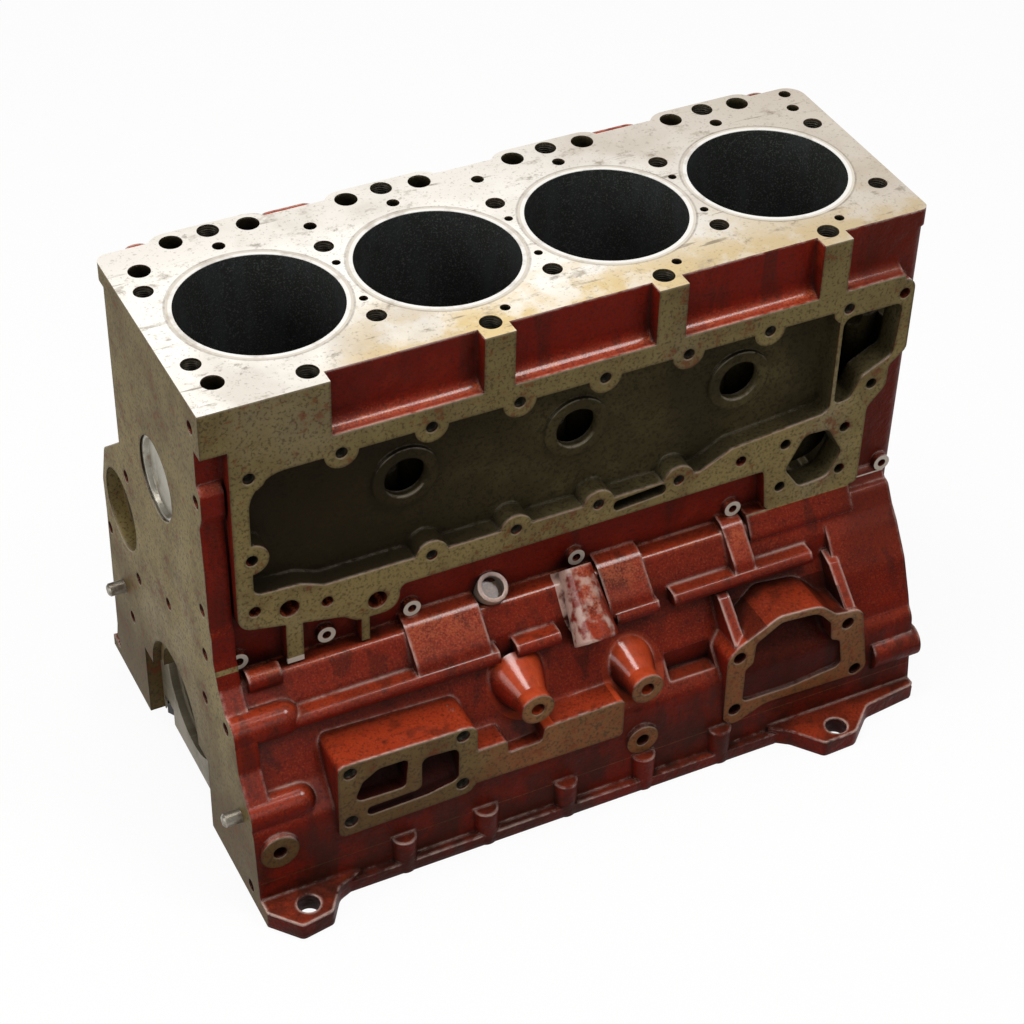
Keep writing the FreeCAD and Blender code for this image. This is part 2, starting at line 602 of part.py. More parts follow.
PLUG_X = "-64"
PLUG_LEAN = Rotation(Vector(1, 0, 0), 35)
TUBE_LEAN = Rotation(Vector(1, 0, 0), 135)


def turn_to(thing, rotation):
    """Turn an object about its own base point."""
    thing.Placement = FreeCAD.Placement(thing.Placement.Base, rotation)
    return thing


def slanted_boss(radius, end_radius, along, length):
    """A cone that runs down and out of the front wall, or the hole in its mouth."""
    at = ("0", f"-front_wall - 8 - ({along}) / sqrt(2)", f"shoulder_z + 6 - ({along}) / sqrt(2)")
    frustum = turn_to(cone(at, "+z", radius, end_radius, length), TUBE_LEAN)
    return frustum


BRACKET_HOLES = (("-58", "44"), ("29", "28"), ("28", "-22"))
MOUNT_HOLES = (("104", "28"), ("104", "-23"), ("195", "27"), ("207", "-23"))
FILTER_HOLES = (("-199", "42"), ("-199", "-4"), ("-115", "42"), ("-115", "-4"))


outside = join("Outside", [
    *upper_body(), *crankcase(), *side_ribs(), *foot_lugs(), *deck_pads(), *cooler_flange(),
    *side_pads()])

# ---------------------------------------------------------------- casting, inside

LINER_SEAT = "bore_radius + liner_wall"
BARREL = "bore_radius + liner_wall + barrel_wall"


def bay_outline():
    """Inside of the crankcase as seen from the end."""
    return [
        ("-front_wall + wall", "crankcase_roof"),
        ("-front_wall + wall", "shoulder_z - skirt_wall"),
        ("-shoulder_y + skirt_wall", "shoulder_z - skirt_wall - 4"),
        ("-ridge_y + skirt_wall + 4", "ridge_z - skirt_wall"),
        ("-ridge_y + skirt_wall", "knuckle_z"),
        ("-skirt_y + skirt_wall", "0"),
        ("-rail_front + 8 + skirt_wall", "-rail_drop / 2"),
        ("-rail_front + 8 + skirt_wall", "-rail_drop - 1"),
        ("skirt_back - skirt_wall", "-rail_drop - 1"),
        ("skirt_back - skirt_wall - 4", "cam_z - 20"),
        ("cam_y + 28", "crankcase_roof - 10"),
        ("back_wall - wall", "crankcase_roof"),
    ]


def keepers():
    """Material that stays inside the hollows: barrels, bearing bosses and bolt columns."""
    kept = []
    for i in CYLINDERS:
        kept.append(rod((across(i), "0", "barrel_bottom"), "+z", BARREL,
                        "deck_height - barrel_bottom"))
    for k in MAINS:
        at = f"{across(k)} - main_width / 2"
        kept.append(rod((at, "0", "0"), "+x", "main_boss", "main_width"))
        kept.append(rod((at, "cam_y", "cam_z"), "+x", "cam_boss", "main_width"))
        for y in ("-head_bolt_y", "head_bolt_y"):
            kept.append(rod((across(k), y, "jacket_floor - 1"), "+z", "bolt_column",
                            "deck_height - jacket_floor"))
    for i in CYLINDERS:
        kept.append(rod((across(i), "-head_bolt_front", "jacket_floor - 1"), "+z",
                        "bolt_column", "deck_height - jacket_floor"))
    for x, z in (*BRACKET_HOLES, *MOUNT_HOLES, *FILTER_HOLES):
        if number(z) < 0:
            kept.append(rod((x, "-pad_plane + 5", z), "+y", "inner_boss",
                            "bracket_hole_depth + 2"))
    return kept


def hollows():
    """Water jacket and the four crank bays, less what stands in them."""
    jacket = prism("Jacket", PLAN, [
        (f"-{END} + end_wall", "-front_wall + wall"), (f"{END} - end_wall", "-front_wall + wall"),
        (f"{END} - end_wall", "back_wall - wall"), (f"-{END} + end_wall", "back_wall - wall")],
        "jacket_floor", "deck_height - deck_thickness - jacket_floor")
    spaces = [jacket]
    for k in MAINS[:-1]:
        start = f"{across(k)} + web / 2"
        spaces.append(prism("Bay", SECTION, bay_outline(), start, "bore_pitch - web"))
    foot = prism("BayFoot", SECTION, [
        ("-rail_front + 8 + skirt_wall", "-rail_drop - 1"),
        ("skirt_back - skirt_wall", "-rail_drop - 1"),
        ("skirt_back - skirt_wall", "-web_foot"),
        ("-rail_front + 8 + skirt_wall", "-web_foot")],
        "-2 * bore_pitch + web / 2", "4 * bore_pitch - web")
    return cut("Hollows", join("Spaces", [*spaces, foot]), join("Kept", keepers()))


def seat_ends(k, more="0"):
    """X of the two sides of a main bearing seat; the outer seats end at the end faces."""
    low = f"-{END}" if k == -2 else f"{across(k)} - main_width / 2"
    high = CASE_END if k == 2 else f"{across(k)} + main_width / 2"
    return f"{low} - {more}", f"{high} + {more}"


def cap_ends(k):
    """X of the two sides of a main cap; the near one sits behind its end face."""
    low, high = seat_ends(k)
    return (f"{low} + cap_inset", high) if k == -2 else (low, high)


def cap_bolt_x(k):
    """X of the bolts of a main cap, midway along the cap."""
    low, high = cap_ends(k)
    return f"(({low}) + ({high})) / 2"


def crank_tunnel():
    """Seats of the main bearings, the slots that the caps sit in, and the seal recesses."""
    tools = [rod((f"-{END} - 1", "0", "0"), "+x", "main_radius", f"{SPAN} + 2")]
    for k in MAINS:
        low, high = seat_ends(k, "1")
        tools.append(box((low, f"-{CAP_HALF} - cap_fit", "-rail_drop - 1"),
                         (high, f"{CAP_HALF} + cap_fit", "0")))
        for y in ("-cap_bolt_y", "cap_bolt_y"):
            tools.append(rod((cap_bolt_x(k), y, "-1"), "+z", "cap_bolt_radius + bolt_fit",
                             "cap_bolt_depth + 3"))
    tools.append(rod((f"-{END} - 1", "0", "0"), "+x", "seal_radius", "seal_depth + 1"))
    tools.append(rod((f"{CASE_END} + 1", "0", "0"), "-x", "seal_radius", "seal_depth + 1"))
    return tools


def bores():
    """Liner seats, cam tunnel, pushrod holes."""
    tools = []
    for i in CYLINDERS:
        tools.append(rod((across(i), "0", "barrel_bottom - 20"), "+z", LINER_SEAT,
                         "deck_height - barrel_bottom + 21"))
        tools.append(rod((across(i), "0", "deck_height + 1"), "-z",
                         f"{LINER_SEAT} + liner_flange", "liner_flange_height + 1"))
        for side in ("-", "+"):
            tools.append(rod((f"{across(i)} {side} pushrod_spread / 2", "pushrod_y",
                              "crankcase_roof - 15"), "+z", "pushrod_radius",
                             "deck_height - crankcase_roof + 16"))
    tools.append(rod((f"-{END} - 1", "cam_y", "cam_z"), "+x", "cam_seat", f"{SPAN} + 2"))
    return tools


def deck_holes():
    """Threaded and water holes in the head face."""
    tools = []
    top = "deck_height + 1"
    for k in MAINS:
        for y in ("-head_bolt_y", "head_bolt_y"):
            tools.append(rod((across(k), y, top), "-z", "head_bolt", "head_bolt_depth + 1"))
    for i in CYLINDERS:
        tools.append(rod((across(i), "-head_bolt_front", top), "-z", "head_bolt_outer",
                         "head_bolt_depth + 1"))
        tools.append(rod((across(i), "head_bolt_back", top), "-z", "head_bolt_outer",
                         "head_bolt_depth + 1"))
        tools.append(rod((across(i), "water_hole_y", top), "-z", "water_hole",
                         "deck_thickness + 1"))
    for k in (-1, 0, 1):
        for y in ("-steam_hole_y", "steam_hole_y"):
            tools.append(rod((across(k), y, top), "-z", "steam_hole", "deck_thickness + 1"))
    for i in (-0.5, 0.5, 1.5):
        tools.append(rod((f"{across(i)} + 15.5", "-dowel_hole_y", top), "-z", "dowel_hole",
                         "deck_thickness + 1"))
    for y in ("-66", "66"):
        tools.append(rod((f"-{END} + 21.5", y, top), "-z", "end_passage", "deck_thickness + 1"))
    for x, y in (("-125", "69"), ("2", "75"), ("250", "67"), (f"{END} - 13.5", "86")):
        tools.append(rod((x, y, top), "-z", "water_hole", "deck_thickness + 1"))
    return tools


def front_cuts():
    """The cooler cavity, its ports, the outlet chamber and the holes of the pads."""
    cavity = prism("Cavity", FRONT, [
        ("-cavity_left", "cavity_foot + 9", "6"), ("-205", "cavity_foot + 7", "8"),
        ("-188", "cavity_foot", "8"), ("96", "cavity_foot", "10"),
        ("120", "cavity_foot + 12", "8"), ("cavity_right", "cavity_foot + 19", "8"),
        ("cavity_right", "cavity_top", "8"), ("-cavity_left", "cavity_top", "26")],
        "cavity_back", "machined_front - cavity_back + 1")
    screws = FLANGE_SCREWS
    islands = [rod((x, "-cavity_back", z), "-y", "flange_boss",
                   "machined_front - cavity_back + 2") for x, z in screws]
    ports = [rod((f"{across(k)} + 2", "-cavity_back", "port_z"), "-y", "port_ring",
                 "port_ring_height") for k in (-1, 0, 1)]
    tools = [cut("CavityCut", cavity, join("Islands", [*islands, *ports]))]
    for k in (-1, 0, 1):
        tools.append(rod((f"{across(k)} + 2", "-front_wall - 1", "port_z"), "+y",
                         "port_radius", "front_wall - 50"))
    outlet = prism("Outlet", FRONT, [
        ("201", "183", "5"), ("214", "185", "5"), ("222", "202", "8"), ("246", "214", "8"),
        ("249", "258", "6"), ("201", "258", "8")],
        "outlet_back", "machined_front - outlet_back + 1")
    tools.append(outlet)
    tools.append(box(("230", "-front_wall + 8", "222"), (f"{END} + 1", "-outlet_back - 10", "258")))
    port = prism("LobedPort", FRONT, [
        ("166", "136", "6"), ("180", "163", "8"), ("200", "162", "8"), ("213", "138", "6"),
        ("203", "118", "8"), ("180", "116", "8")], "cavity_back - 8", "40")
    tools.append(port)
    for x, z in screws:
        tools.append(rod((x, "-machined_front - 1", z), "+y", "flange_screw",
                         "flange_screw_depth + 1"))
    for x, z in (("-214", "148"), ("-151", "132")):
        tools.append(rod((x, "-machined_front - 1", z), "+y", "7", "26"))
    tools.append(prism("OilSlot", FRONT, [
        ("27", "146", "4"), ("68", "149", "4"), ("68", "158", "4"), ("27", "155", "4")],
        "cavity_back", "16"))
    for x, z in (*BRACKET_HOLES, *MOUNT_HOLES, *FILTER_HOLES, ("-251", "-12")):
        tools.append(rod((x, "-pad_plane - 1", z), "+y", "bracket_hole",
                         "bracket_hole_depth + 1"))
    for k in (-4, -3, -2, 0, 2, 4):
        tools.append(rod((f"{k} * flange_pitch + 3", "-front_wall - ring_proud - 1", "ring_z"),
                         "+y", "ring_hole", "10"))
    tools.append(slanted_boss("tube_bore", "tube_bore + 1",
                              "tube_length - tube_bore_depth", "tube_bore_depth + 1"))
    tools.append(turn_to(rod((PLUG_X, "-front_wall - 5", "shoulder_z + 6"), "+z", "plug_bore",
                             "20"), PLUG_LEAN))
    for x, y in LUG_HOLES:
        tools.append(rod((x, y, "-rail_drop - 1"), "+z", "lug_hole", "lug_height + 12"))
    for x in RAIL_SCREWS:
        tools.append(rod((x, "-rail_front + rail_column - 1", "-rail_drop - 1"), "+z",
                         "rail_hole", "rail_hole_depth + 1"))
    tools.append(box(("55", "-pad_plane - 12", "14"), ("92", "-ridge_y - 7", "ridge_z - 14")))
    return tools


FLANGE_SCREWS = [
    *((f"-237 + {n} * flange_pitch", "upper_screw_z") for n in range(8)),
    ("249", "upper_screw_z"),
    *((f"-237 + {n} * flange_pitch", "lower_screw_z") for n in range(2, 6)),
    ("-238", "198"), ("-238", "lower_screw_z - 3"), ("-187", "lower_screw_z - 13"),
    ("128", "lower_screw_z"), ("164", "160"), ("213", "160"), ("213", "122"), ("163", "122"),
    ("231", "193"),
]


def end_cuts():
    """Core plug seats and dowel holes in the end faces, and plug seats in the back wall."""
    tools = []
    for sign, toward, in_way in (("-", "-x", "+"), ("", "+x", "-")):
        face = f"{sign}{END}"
        tools.append(rod((f"{face} {in_way} (end_wall + 1)", "0", "end_plug_z"), toward,
                         "end_plug_radius", "end_wall + 2"))
    for k in (-1, 0, 1):
        tools.append(rod((across(k), "back_wall - wall - 1", "side_plug_z"), "+y",
                         "side_plug_radius", "wall + 30"))
    for y, z in END_PINS:
        tools.append(rod((f"-{END} - 1", y, z), "+x", "pin_radius", "pin_length - pin_proud + 1"))
    for y, z in END_HOLES:
        tools.append(rod((f"-{END} - 1", y, z), "+x", "end_hole", "end_hole_depth + 1"))
    return tools


END_PINS = (("-126", "5"), ("101", "30"))
END_HOLES = (
    ("69", "157"), ("62", "68"), ("122", "70"), ("-4", "98"), ("87", "11"), ("-69", "66"),
    ("-80", "306"), ("-81", "247"), ("-77", "152"), ("-76", "112"), ("-108", "71"),
    ("-139", "-52"), ("133", "-52"),
)

block = cut("cylinder_block", outside, join("Inside", [
    hollows(), *crank_tunnel(), *bores(), *deck_holes(), *front_cuts(), *end_cuts()]))
block.Label = "cylinder_block"
pieces = [block]

# ---------------------------------------------------------------- pieces that go into the casting


def liner(name, i):
    """Dry liner: a thin sleeve with a flange at its top, flush with the head face."""
    body = turned(name, [
        ("bore_radius", "deck_height - liner_length"), (LINER_SEAT, "deck_height - liner_length"),
        (LINER_SEAT, "deck_height - liner_flange_height"),
        (f"{LINER_SEAT} + liner_flange", "deck_height - liner_flange_height"),
        (f"{LINER_SEAT} + liner_flange", "deck_height"), ("bore_radius", "deck_height")])
    return place(body, (across(i), "0", "0"))


def main_cap(name, k):
    """Main bearing cap: arched block with a half seat and two bolt holes; end caps reach the rail."""
    outer = k in (-2, 2)
    foot = "-rail_drop" if outer else "-cap_height"
    low, high = cap_ends(k)
    long = f"({high}) - ({low})"
    body = new_body(name)
    edge = "2" if outer else "12"
    outline = sketch_on(body, "YZ_Plane", f"{name}_section", [
        (f"-{CAP_HALF}", "0"), (f"-{CAP_HALF}", foot, edge),
        (CAP_HALF, foot, edge), (CAP_HALF, "0")])
    pad = body.newObject("PartDesign::Pad", f"{name}_pad")
    pad.Profile = outline
    bind(pad, Length=long)
    body.Tip = pad
    place(body, (low, "0", "0"))
    tools = [rod((f"{low} - 1", "0", "0"), "+x", "main_radius", f"{long} + 2")]
    if outer:
        face = f"{low} - 1" if k < 0 else f"{high} + 1"
        tools.append(rod((face, "0", "0"), "+x" if k < 0 else "-x", "seal_radius",
                         "seal_depth + 1"))
    for y in ("-cap_bolt_y", "cap_bolt_y"):
        tools.append(rod((cap_bolt_x(k), y, "-cap_height - 1"), "+z",
                         "cap_bolt_radius + bolt_fit", "cap_height + 2"))
        if outer:
            tools.append(rod((cap_bolt_x(k), y, "-rail_drop - 1"), "+z", "spot_radius",
                             "rail_drop - cap_height + 1"))
    body.Label = f"{name}_blank"
    cap = cut(f"{name}_cut", body, join(f"{name}_tools", tools))
    cap.Label = name
    return cap


def cap_bolts():
    """The ten main cap bolts: shank and hexagon head, one solid each."""
    across_corners = "cap_bolt_flats / cos(30)"
    corners = [(f"{across_corners} / 2 * {math.cos(math.radians(60 * n)):.6f}",
                f"{across_corners} / 2 * {math.sin(math.radians(60 * n)):.6f}") for n in range(6)]
    head = prism("BoltHead", PLAN, corners, "-cap_height - cap_bolt_head", "cap_bolt_head")
    shank = rod(("0", "0", "-cap_height - 1"), "+z", "cap_bolt_radius",
                "cap_height + cap_bolt_depth + 1")
    bolt = join("CapBolt", [head, shank])
    links = []
    for k in MAINS:
        for y in ("-cap_bolt_y", "cap_bolt_y"):
            link = doc.addObject("App::Link", "CapBoltCopy")
            link.LinkedObject = bolt
            links.append(place(link, (cap_bolt_x(k), y, "0")))
    group = doc.addObject("Part::Compound", "main_cap_bolts")
    group.Links = links
    group.Label = "main_cap_bolts"
    return group


def cam_bush(name, k):
    """Plain bush pressed into a cam seat."""
    body = turned(name, [("cam_bore", "-cam_bush_length / 2"), ("cam_seat", "-cam_bush_length / 2"),
                         ("cam_seat", "cam_bush_length / 2"), ("cam_bore", "cam_bush_length / 2")])
    return place(body, (cap_bolt_x(k), "cam_y", "cam_z"), TURNS["+x"])


def core_plug(name, radius, at, toward):
    """Cup plug, open side outwards, with a domed floor."""
    body = turned(name, [
        ("0", "-plug_depth"), (f"{radius} - 2", "-plug_depth"), (radius, "-plug_depth + 2"),
        (radius, "0"), (f"{radius} - plug_wall", "0"),
        (f"{radius} - plug_wall - 1", "-plug_depth + plug_wall + 1"),
        (f"{radius} * 0.6", "-plug_depth + plug_wall"), ("0", "-plug_depth + plug_wall")])
    return place(body, at, TURNS[toward])


def end_pin(name, y, z):
    """Dowel in the end face, chamfered where it stands out."""
    body = turned(name, [
        ("0", "0"), ("pin_radius", "0"), ("pin_radius", "pin_length - 1.5"),
        ("pin_radius - 1.5", "pin_length"), ("0", "pin_length")])
    return place(body, (f"-{END} + pin_length - pin_proud", y, z), TURNS["-x"])


for count, i in enumerate(CYLINDERS, start=1):
    pieces.append(liner(f"cylinder_liner_{count}", i))
for count, k in enumerate(MAINS, start=1):
    pieces.append(main_cap(f"main_bearing_cap_{count}", k))
    pieces.append(cam_bush(f"cam_bush_{count}", k))
pieces.append(cap_bolts())
pieces.append(core_plug("core_plug_near_end", "end_plug_radius",
                        (f"-{END} + plug_inset", "0", "end_plug_z"), "-x"))
pieces.append(core_plug("core_plug_far_end", "end_plug_radius",
                        (f"{END} - plug_inset", "0", "end_plug_z"), "+x"))
for count, k in enumerate((-1, 0, 1), start=1):
    pieces.append(core_plug(f"core_plug_back_{count}", "side_plug_radius",
                            (across(k), "back_wall - plug_inset", "side_plug_z"), "+y"))
for count, (y, z) in enumerate(END_PINS, start=1):
    pieces.append(end_pin(f"end_dowel_{count}", y, z))


# ---------------------------------------------------------------- build, check and write

doc.recompute()
for thing in doc.Objects:
    bad = {"Invalid", "Error"} & set(thing.State)
    if bad:
        raise RuntimeError(f"{thing.Name} is {bad}")
for piece in pieces:
    if piece.Shape.isNull() or not piece.Shape.isValid():
        raise RuntimeError(f"{piece.Label} has no valid shape")
os.makedirs("parts", exist_ok=True)
for piece in pieces:
    piece.Shape.exportStep(f"parts/{piece.Label}.step")
    print(f"{piece.Label}: {len(piece.Shape.Solids)} solid(s), {piece.Shape.Volume / 1000:.1f} cm3")
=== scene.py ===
import json
import math

import bpy
import numpy as np
from bpy.props import FloatProperty, FloatVectorProperty, PointerProperty
from mathutils import Matrix, Vector


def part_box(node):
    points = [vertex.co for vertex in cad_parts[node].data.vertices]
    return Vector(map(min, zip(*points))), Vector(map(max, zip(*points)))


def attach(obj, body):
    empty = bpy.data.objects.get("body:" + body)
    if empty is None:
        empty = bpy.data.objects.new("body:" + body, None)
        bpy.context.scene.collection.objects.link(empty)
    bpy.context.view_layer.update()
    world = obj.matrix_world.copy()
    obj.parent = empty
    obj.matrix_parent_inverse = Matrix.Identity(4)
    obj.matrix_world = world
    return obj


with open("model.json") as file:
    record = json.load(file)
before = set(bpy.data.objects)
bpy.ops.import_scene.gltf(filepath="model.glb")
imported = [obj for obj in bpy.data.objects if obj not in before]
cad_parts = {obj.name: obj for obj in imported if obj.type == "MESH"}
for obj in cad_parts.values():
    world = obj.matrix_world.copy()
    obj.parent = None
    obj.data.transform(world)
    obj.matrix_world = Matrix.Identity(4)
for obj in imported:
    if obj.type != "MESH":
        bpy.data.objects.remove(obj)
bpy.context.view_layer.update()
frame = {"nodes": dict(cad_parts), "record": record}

bl_info = {
    "name": "Engine block finish",
    "version": (1, 0, 0),
    "blender": (4, 5, 0),
    "location": "View3D > Sidebar > Engine block",
    "description": "Paint, machined faces, threads and a studio stage for a cast engine block",
    "category": "Object",
}

# Planes, ends and axes that the frame gives, in metres.
BLOCK_LOW, BLOCK_HIGH = (Vector(corner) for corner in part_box("cylinder_block"))
MOUNTS = {mount["name"]: mount for mount in frame["record"]["mounts"]}
FLOOR_Z = BLOCK_LOW.z
DECK_Z = BLOCK_HIGH.z
CASE_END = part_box("main_bearing_cap_5")[1][0]
FRONT_PLANE = MOUNTS["cooler_face"]["pos_m"][1]
PAD_PLANE = MOUNTS["filter_pad_screws"]["pos_m"][1]
CAM_Y, CAM_Z = MOUNTS["camshaft_bushes"]["pos_m"][1:]
BORE_RADIUS = MOUNTS["cylinder_bore_1"]["dims"]["r_mm"] / 1000
BORE_PITCH = MOUNTS["cylinder_bore_2"]["pos_m"][0] - MOUNTS["cylinder_bore_1"]["pos_m"][0]

# How near to its plane counts as on it: the flange and ends, and the pads, rail and head face.
ON_FACE = 0.0006
ON_PAD = 0.0005

# How far behind the flange, and how far below the head face, a hollow's mask begins.
INSET = 0.0004
DECK_INSET = 0.0003

# Rays that a shader sends out at each point to round an edge or to find a hollow.
RAY_SAMPLES = 6

# Inner side of the crankcase's front wall: height, and distance from the crank's plane.
FRONT_WALL = [(-0.066, 0.1520), (-0.032, 0.1500), (0.0, 0.1455), (0.026, 0.1270),
              (0.042, 0.1185), (0.059, 0.1123), (0.064, 0.1113), (0.077, 0.1020),
              (0.088, 0.0890), (0.100, 0.0800)]

# Boxes around hollows that paint doesn't reach, as two corners each.
HOLLOWS = {
    "jacket and bores": ((-0.2615, -0.0825, 0.150), (0.2615, 0.0735, DECK_Z - DECK_INSET)),
    "cooler cavity": ((-0.2384, FRONT_PLANE + INSET, 0.1585), (0.1984, -0.05, 0.2655)),
    "lower port": ((0.160, FRONT_PLANE + INSET, 0.110), (0.2165, -0.05, 0.168)),
    "slot": ((0.0265, FRONT_PLANE + INSET, 0.1455), (0.0685, -0.07, 0.1585)),
    "outlet": ((0.2005, FRONT_PLANE + INSET, 0.1825), (0.2495, -0.03, 0.2585)),
    "outlet side": ((0.2490, -0.0765, 0.2215), (0.2677, -0.0445, 0.2585)),
}

# Threads: points to a pitch, points round a hole, the share of a crest's height that the roots
# keep, and how far the sleeve's outside stays off the hole's wall.
THREAD_ROWS = 6
THREAD_COLUMNS = 28
ROOT_SHARE = 0.12
WALL_GAP = 0.00002

# Lamps: place, side of the square, watts and colour. All of them face one point.
LAMP_AIM = (0, 0, 0.15)
LAMPS = {
    "top_lamp": ((-0.25, 0.15, 2.1), 0.9, 28, (1, 0.99, 0.97)),
    "gloss_lamp": ((0.80, -0.82, 2.1), 0.7, 13, (1, 1, 1)),
    "front_lamp": ((-0.4, -2.3, 1.2), 1.6, 6, (1, 1, 1)),
    "near_end_lamp": ((-2.0, -0.4, 0.8), 1.2, 13, (1, 1, 1)),
}


# ---------------------------------------------------------------- sizes and colours


class BlockFinish(bpy.types.PropertyGroup):
    """Colours and surface detail of the casting."""
    paint: FloatVectorProperty(
        name="Paint", description="Red oxide enamel on the outside of the casting",
        subtype="COLOR", size=4, min=0, max=1, default=(0.19, 0.012, 0.0045, 1))
    # Painted light: the enamel's colour where it faces up, drawn lighter as if lit from above.
    top_lit_paint: FloatVectorProperty(
        name="Faded paint", description="The enamel where it faces up and has faded",
        subtype="COLOR", size=4, min=0, max=1, default=(0.42, 0.046, 0.012, 1))
    head_face: FloatVectorProperty(
        name="Head face", description="Bare ground iron on top",
        subtype="COLOR", size=4, min=0, max=1, default=(0.95, 0.92, 0.86, 1))
    machined: FloatVectorProperty(
        name="Machined iron", description="Bare milled iron on the sides and ends",
        subtype="COLOR", size=4, min=0, max=1, default=(0.27, 0.205, 0.080, 1))
    bare_cast: FloatVectorProperty(
        name="Bare casting", description="Unpainted cast skin inside the cavities",
        subtype="COLOR", size=4, min=0, max=1, default=(0.066, 0.051, 0.022, 1))
    edge_round: FloatProperty(
        name="Edge round", description="How far cast edges look rounded",
        subtype="DISTANCE", min=0, max=0.01, default=0.0045)
    sand_grain: FloatProperty(
        name="Sand grain", description="Height of the grain that the mould leaves",
        subtype="DISTANCE", min=0, max=0.002, default=0.0009)


class ThreadSizes(bpy.types.PropertyGroup):
    """Screw threads in the holes that take bolts."""
    pitch: FloatProperty(
        name="Pitch", description="Distance between two crests of a thread",
        subtype="DISTANCE", min=0.0005, max=0.005, default=0.00175)
    height: FloatProperty(
        name="Height", description="How far a crest stands into the hole",
        subtype="DISTANCE", min=0.0001, max=0.002, default=0.0007)
    length: FloatProperty(
        name="Length", description="Threaded length below the lead-in",
        subtype="DISTANCE", min=0.002, max=0.04, default=0.014)
    lead_in: FloatProperty(
        name="Lead-in", description="Plain depth before the first turn",
        subtype="DISTANCE", min=0, max=0.01, default=0.0015)


class StageSizes(bpy.types.PropertyGroup):
    """Floor, lamps and camera."""
    floor_size: FloatProperty(
        name="Floor", description="Side of the floor", subtype="DISTANCE",
        min=1, max=20, default=8.0)
    camera_distance: FloatProperty(
        name="Camera distance", description="Camera to the point it looks at",
        subtype="DISTANCE", min=0.5, max=5, default=1.46339)
    camera_aim: FloatVectorProperty(
        name="Camera aim", description="Point that the camera looks at",
        subtype="XYZ", size=3, default=(-0.13387, -0.25452, DECK_Z))
    camera_lens: FloatProperty(
        name="Lens", description="Focal length", subtype="DISTANCE_CAMERA",
        min=20, max=200, default=88.72)
    camera_turn: FloatProperty(
        name="Turn", description="How far the camera stands round to the near end",
        subtype="ANGLE", default=math.radians(-27.257))
    camera_height: FloatProperty(
        name="Height angle", description="How far the camera looks down",
        subtype="ANGLE", default=math.radians(39.964))
    camera_roll: FloatProperty(
        name="Roll", description="Lean of the camera about its own axis",
        subtype="ANGLE", default=math.radians(1.597))
    world_light: FloatProperty(
        name="World light", description="Brightness of the even light from all sides",
        subtype="FACTOR", min=0, max=1, default=0.16)
    floor_glow: FloatProperty(
        name="Floor glow", description="How much of the floor's white is its own light",
        subtype="FACTOR", min=0, max=1, default=0.93)


# ---------------------------------------------------------------- shader expressions


def opaque(colour):
    """A colour with full alpha, or a socket as it is."""
    return colour if isinstance(colour, Socket) else (*colour[:3], 1)


class Socket:
    """An output of a material's node tree that takes part in sums and comparisons."""

    def __init__(self, tree, link):
        self.tree = tree
        self.link = link

    def node(self, kind, settings, values, output=0):
        """Another node of the tree: its type, its settings, its sockets' values or links."""
        made = self.tree.nodes.new("ShaderNode" + kind)
        for name, setting in settings.items():
            if name == "stops":
                for _ in range(len(setting) - 2):
                    made.color_ramp.elements.new(0.5)
                for stop, (at, colour) in zip(made.color_ramp.elements, setting):
                    stop.position = at
                    stop.color = colour
            else:
                setattr(made, name, setting)
        for key, value in values.items():
            if isinstance(value, Socket):
                self.tree.links.new(value.link, made.inputs[key])
            else:
                made.inputs[key].default_value = value
        return Socket(self.tree, made.outputs[output])

    def maths(self, operation, *others):
        """A Math node on this value and the others."""
        values = {0: self, **{n: other for n, other in enumerate(others, start=1)}}
        return self.node("Math", {"operation": operation}, values)

    def __add__(self, other):
        return self.maths("ADD", other)

    __radd__ = __add__

    def __sub__(self, other):
        return self.maths("SUBTRACT", other)

    def __rsub__(self, other):
        return (self * -1) + other

    def __mul__(self, other):
        return self.maths("MULTIPLY", other)

    def __truediv__(self, other):
        return self.maths("DIVIDE", other)

    def __gt__(self, other):
        return self.maths("GREATER_THAN", other)

    def __lt__(self, other):
        return self.maths("LESS_THAN", other)

    def __abs__(self):
        return self.maths("ABSOLUTE")

    def most(self, other):
        """The larger of the two values."""
        return self.maths("MAXIMUM", other)

    def between(self, low, high):
        """1 between two values, 0 outside."""
        return (self > low) * (self < high)

    def rise(self, low, high):
        """0 below low, 1 above high and a smooth step between; low may be the larger."""
        return self.node("MapRange", {"interpolation_type": "SMOOTHSTEP"},
                         {"Value": self, "From Min": low, "From Max": high})

    def noise(self, scale, detail, rough, stretch=(1, 1, 1)):
        """Fractal noise at this point, from 0 to 1, with so many lumps to the metre."""
        spot = self.node("Mapping", {}, {"Vector": self, "Scale": stretch})
        return self.node("TexNoise", {"normalize": True},
                         {"Vector": spot, "Scale": scale, "Detail": detail, "Roughness": rough})

    def mixed(self, other, amount):
        """This colour going over to the other by an amount."""
        return self.node("Mix", {"data_type": "RGBA", "clamp_factor": True},
                         {0: amount, 6: self, 7: opaque(other)}, 2)

    def parts(self):
        """The three coordinates of a direction or a place."""
        split = self.node("SeparateXYZ", {}, {"Vector": self})
        return [Socket(self.tree, out) for out in split.link.node.outputs]


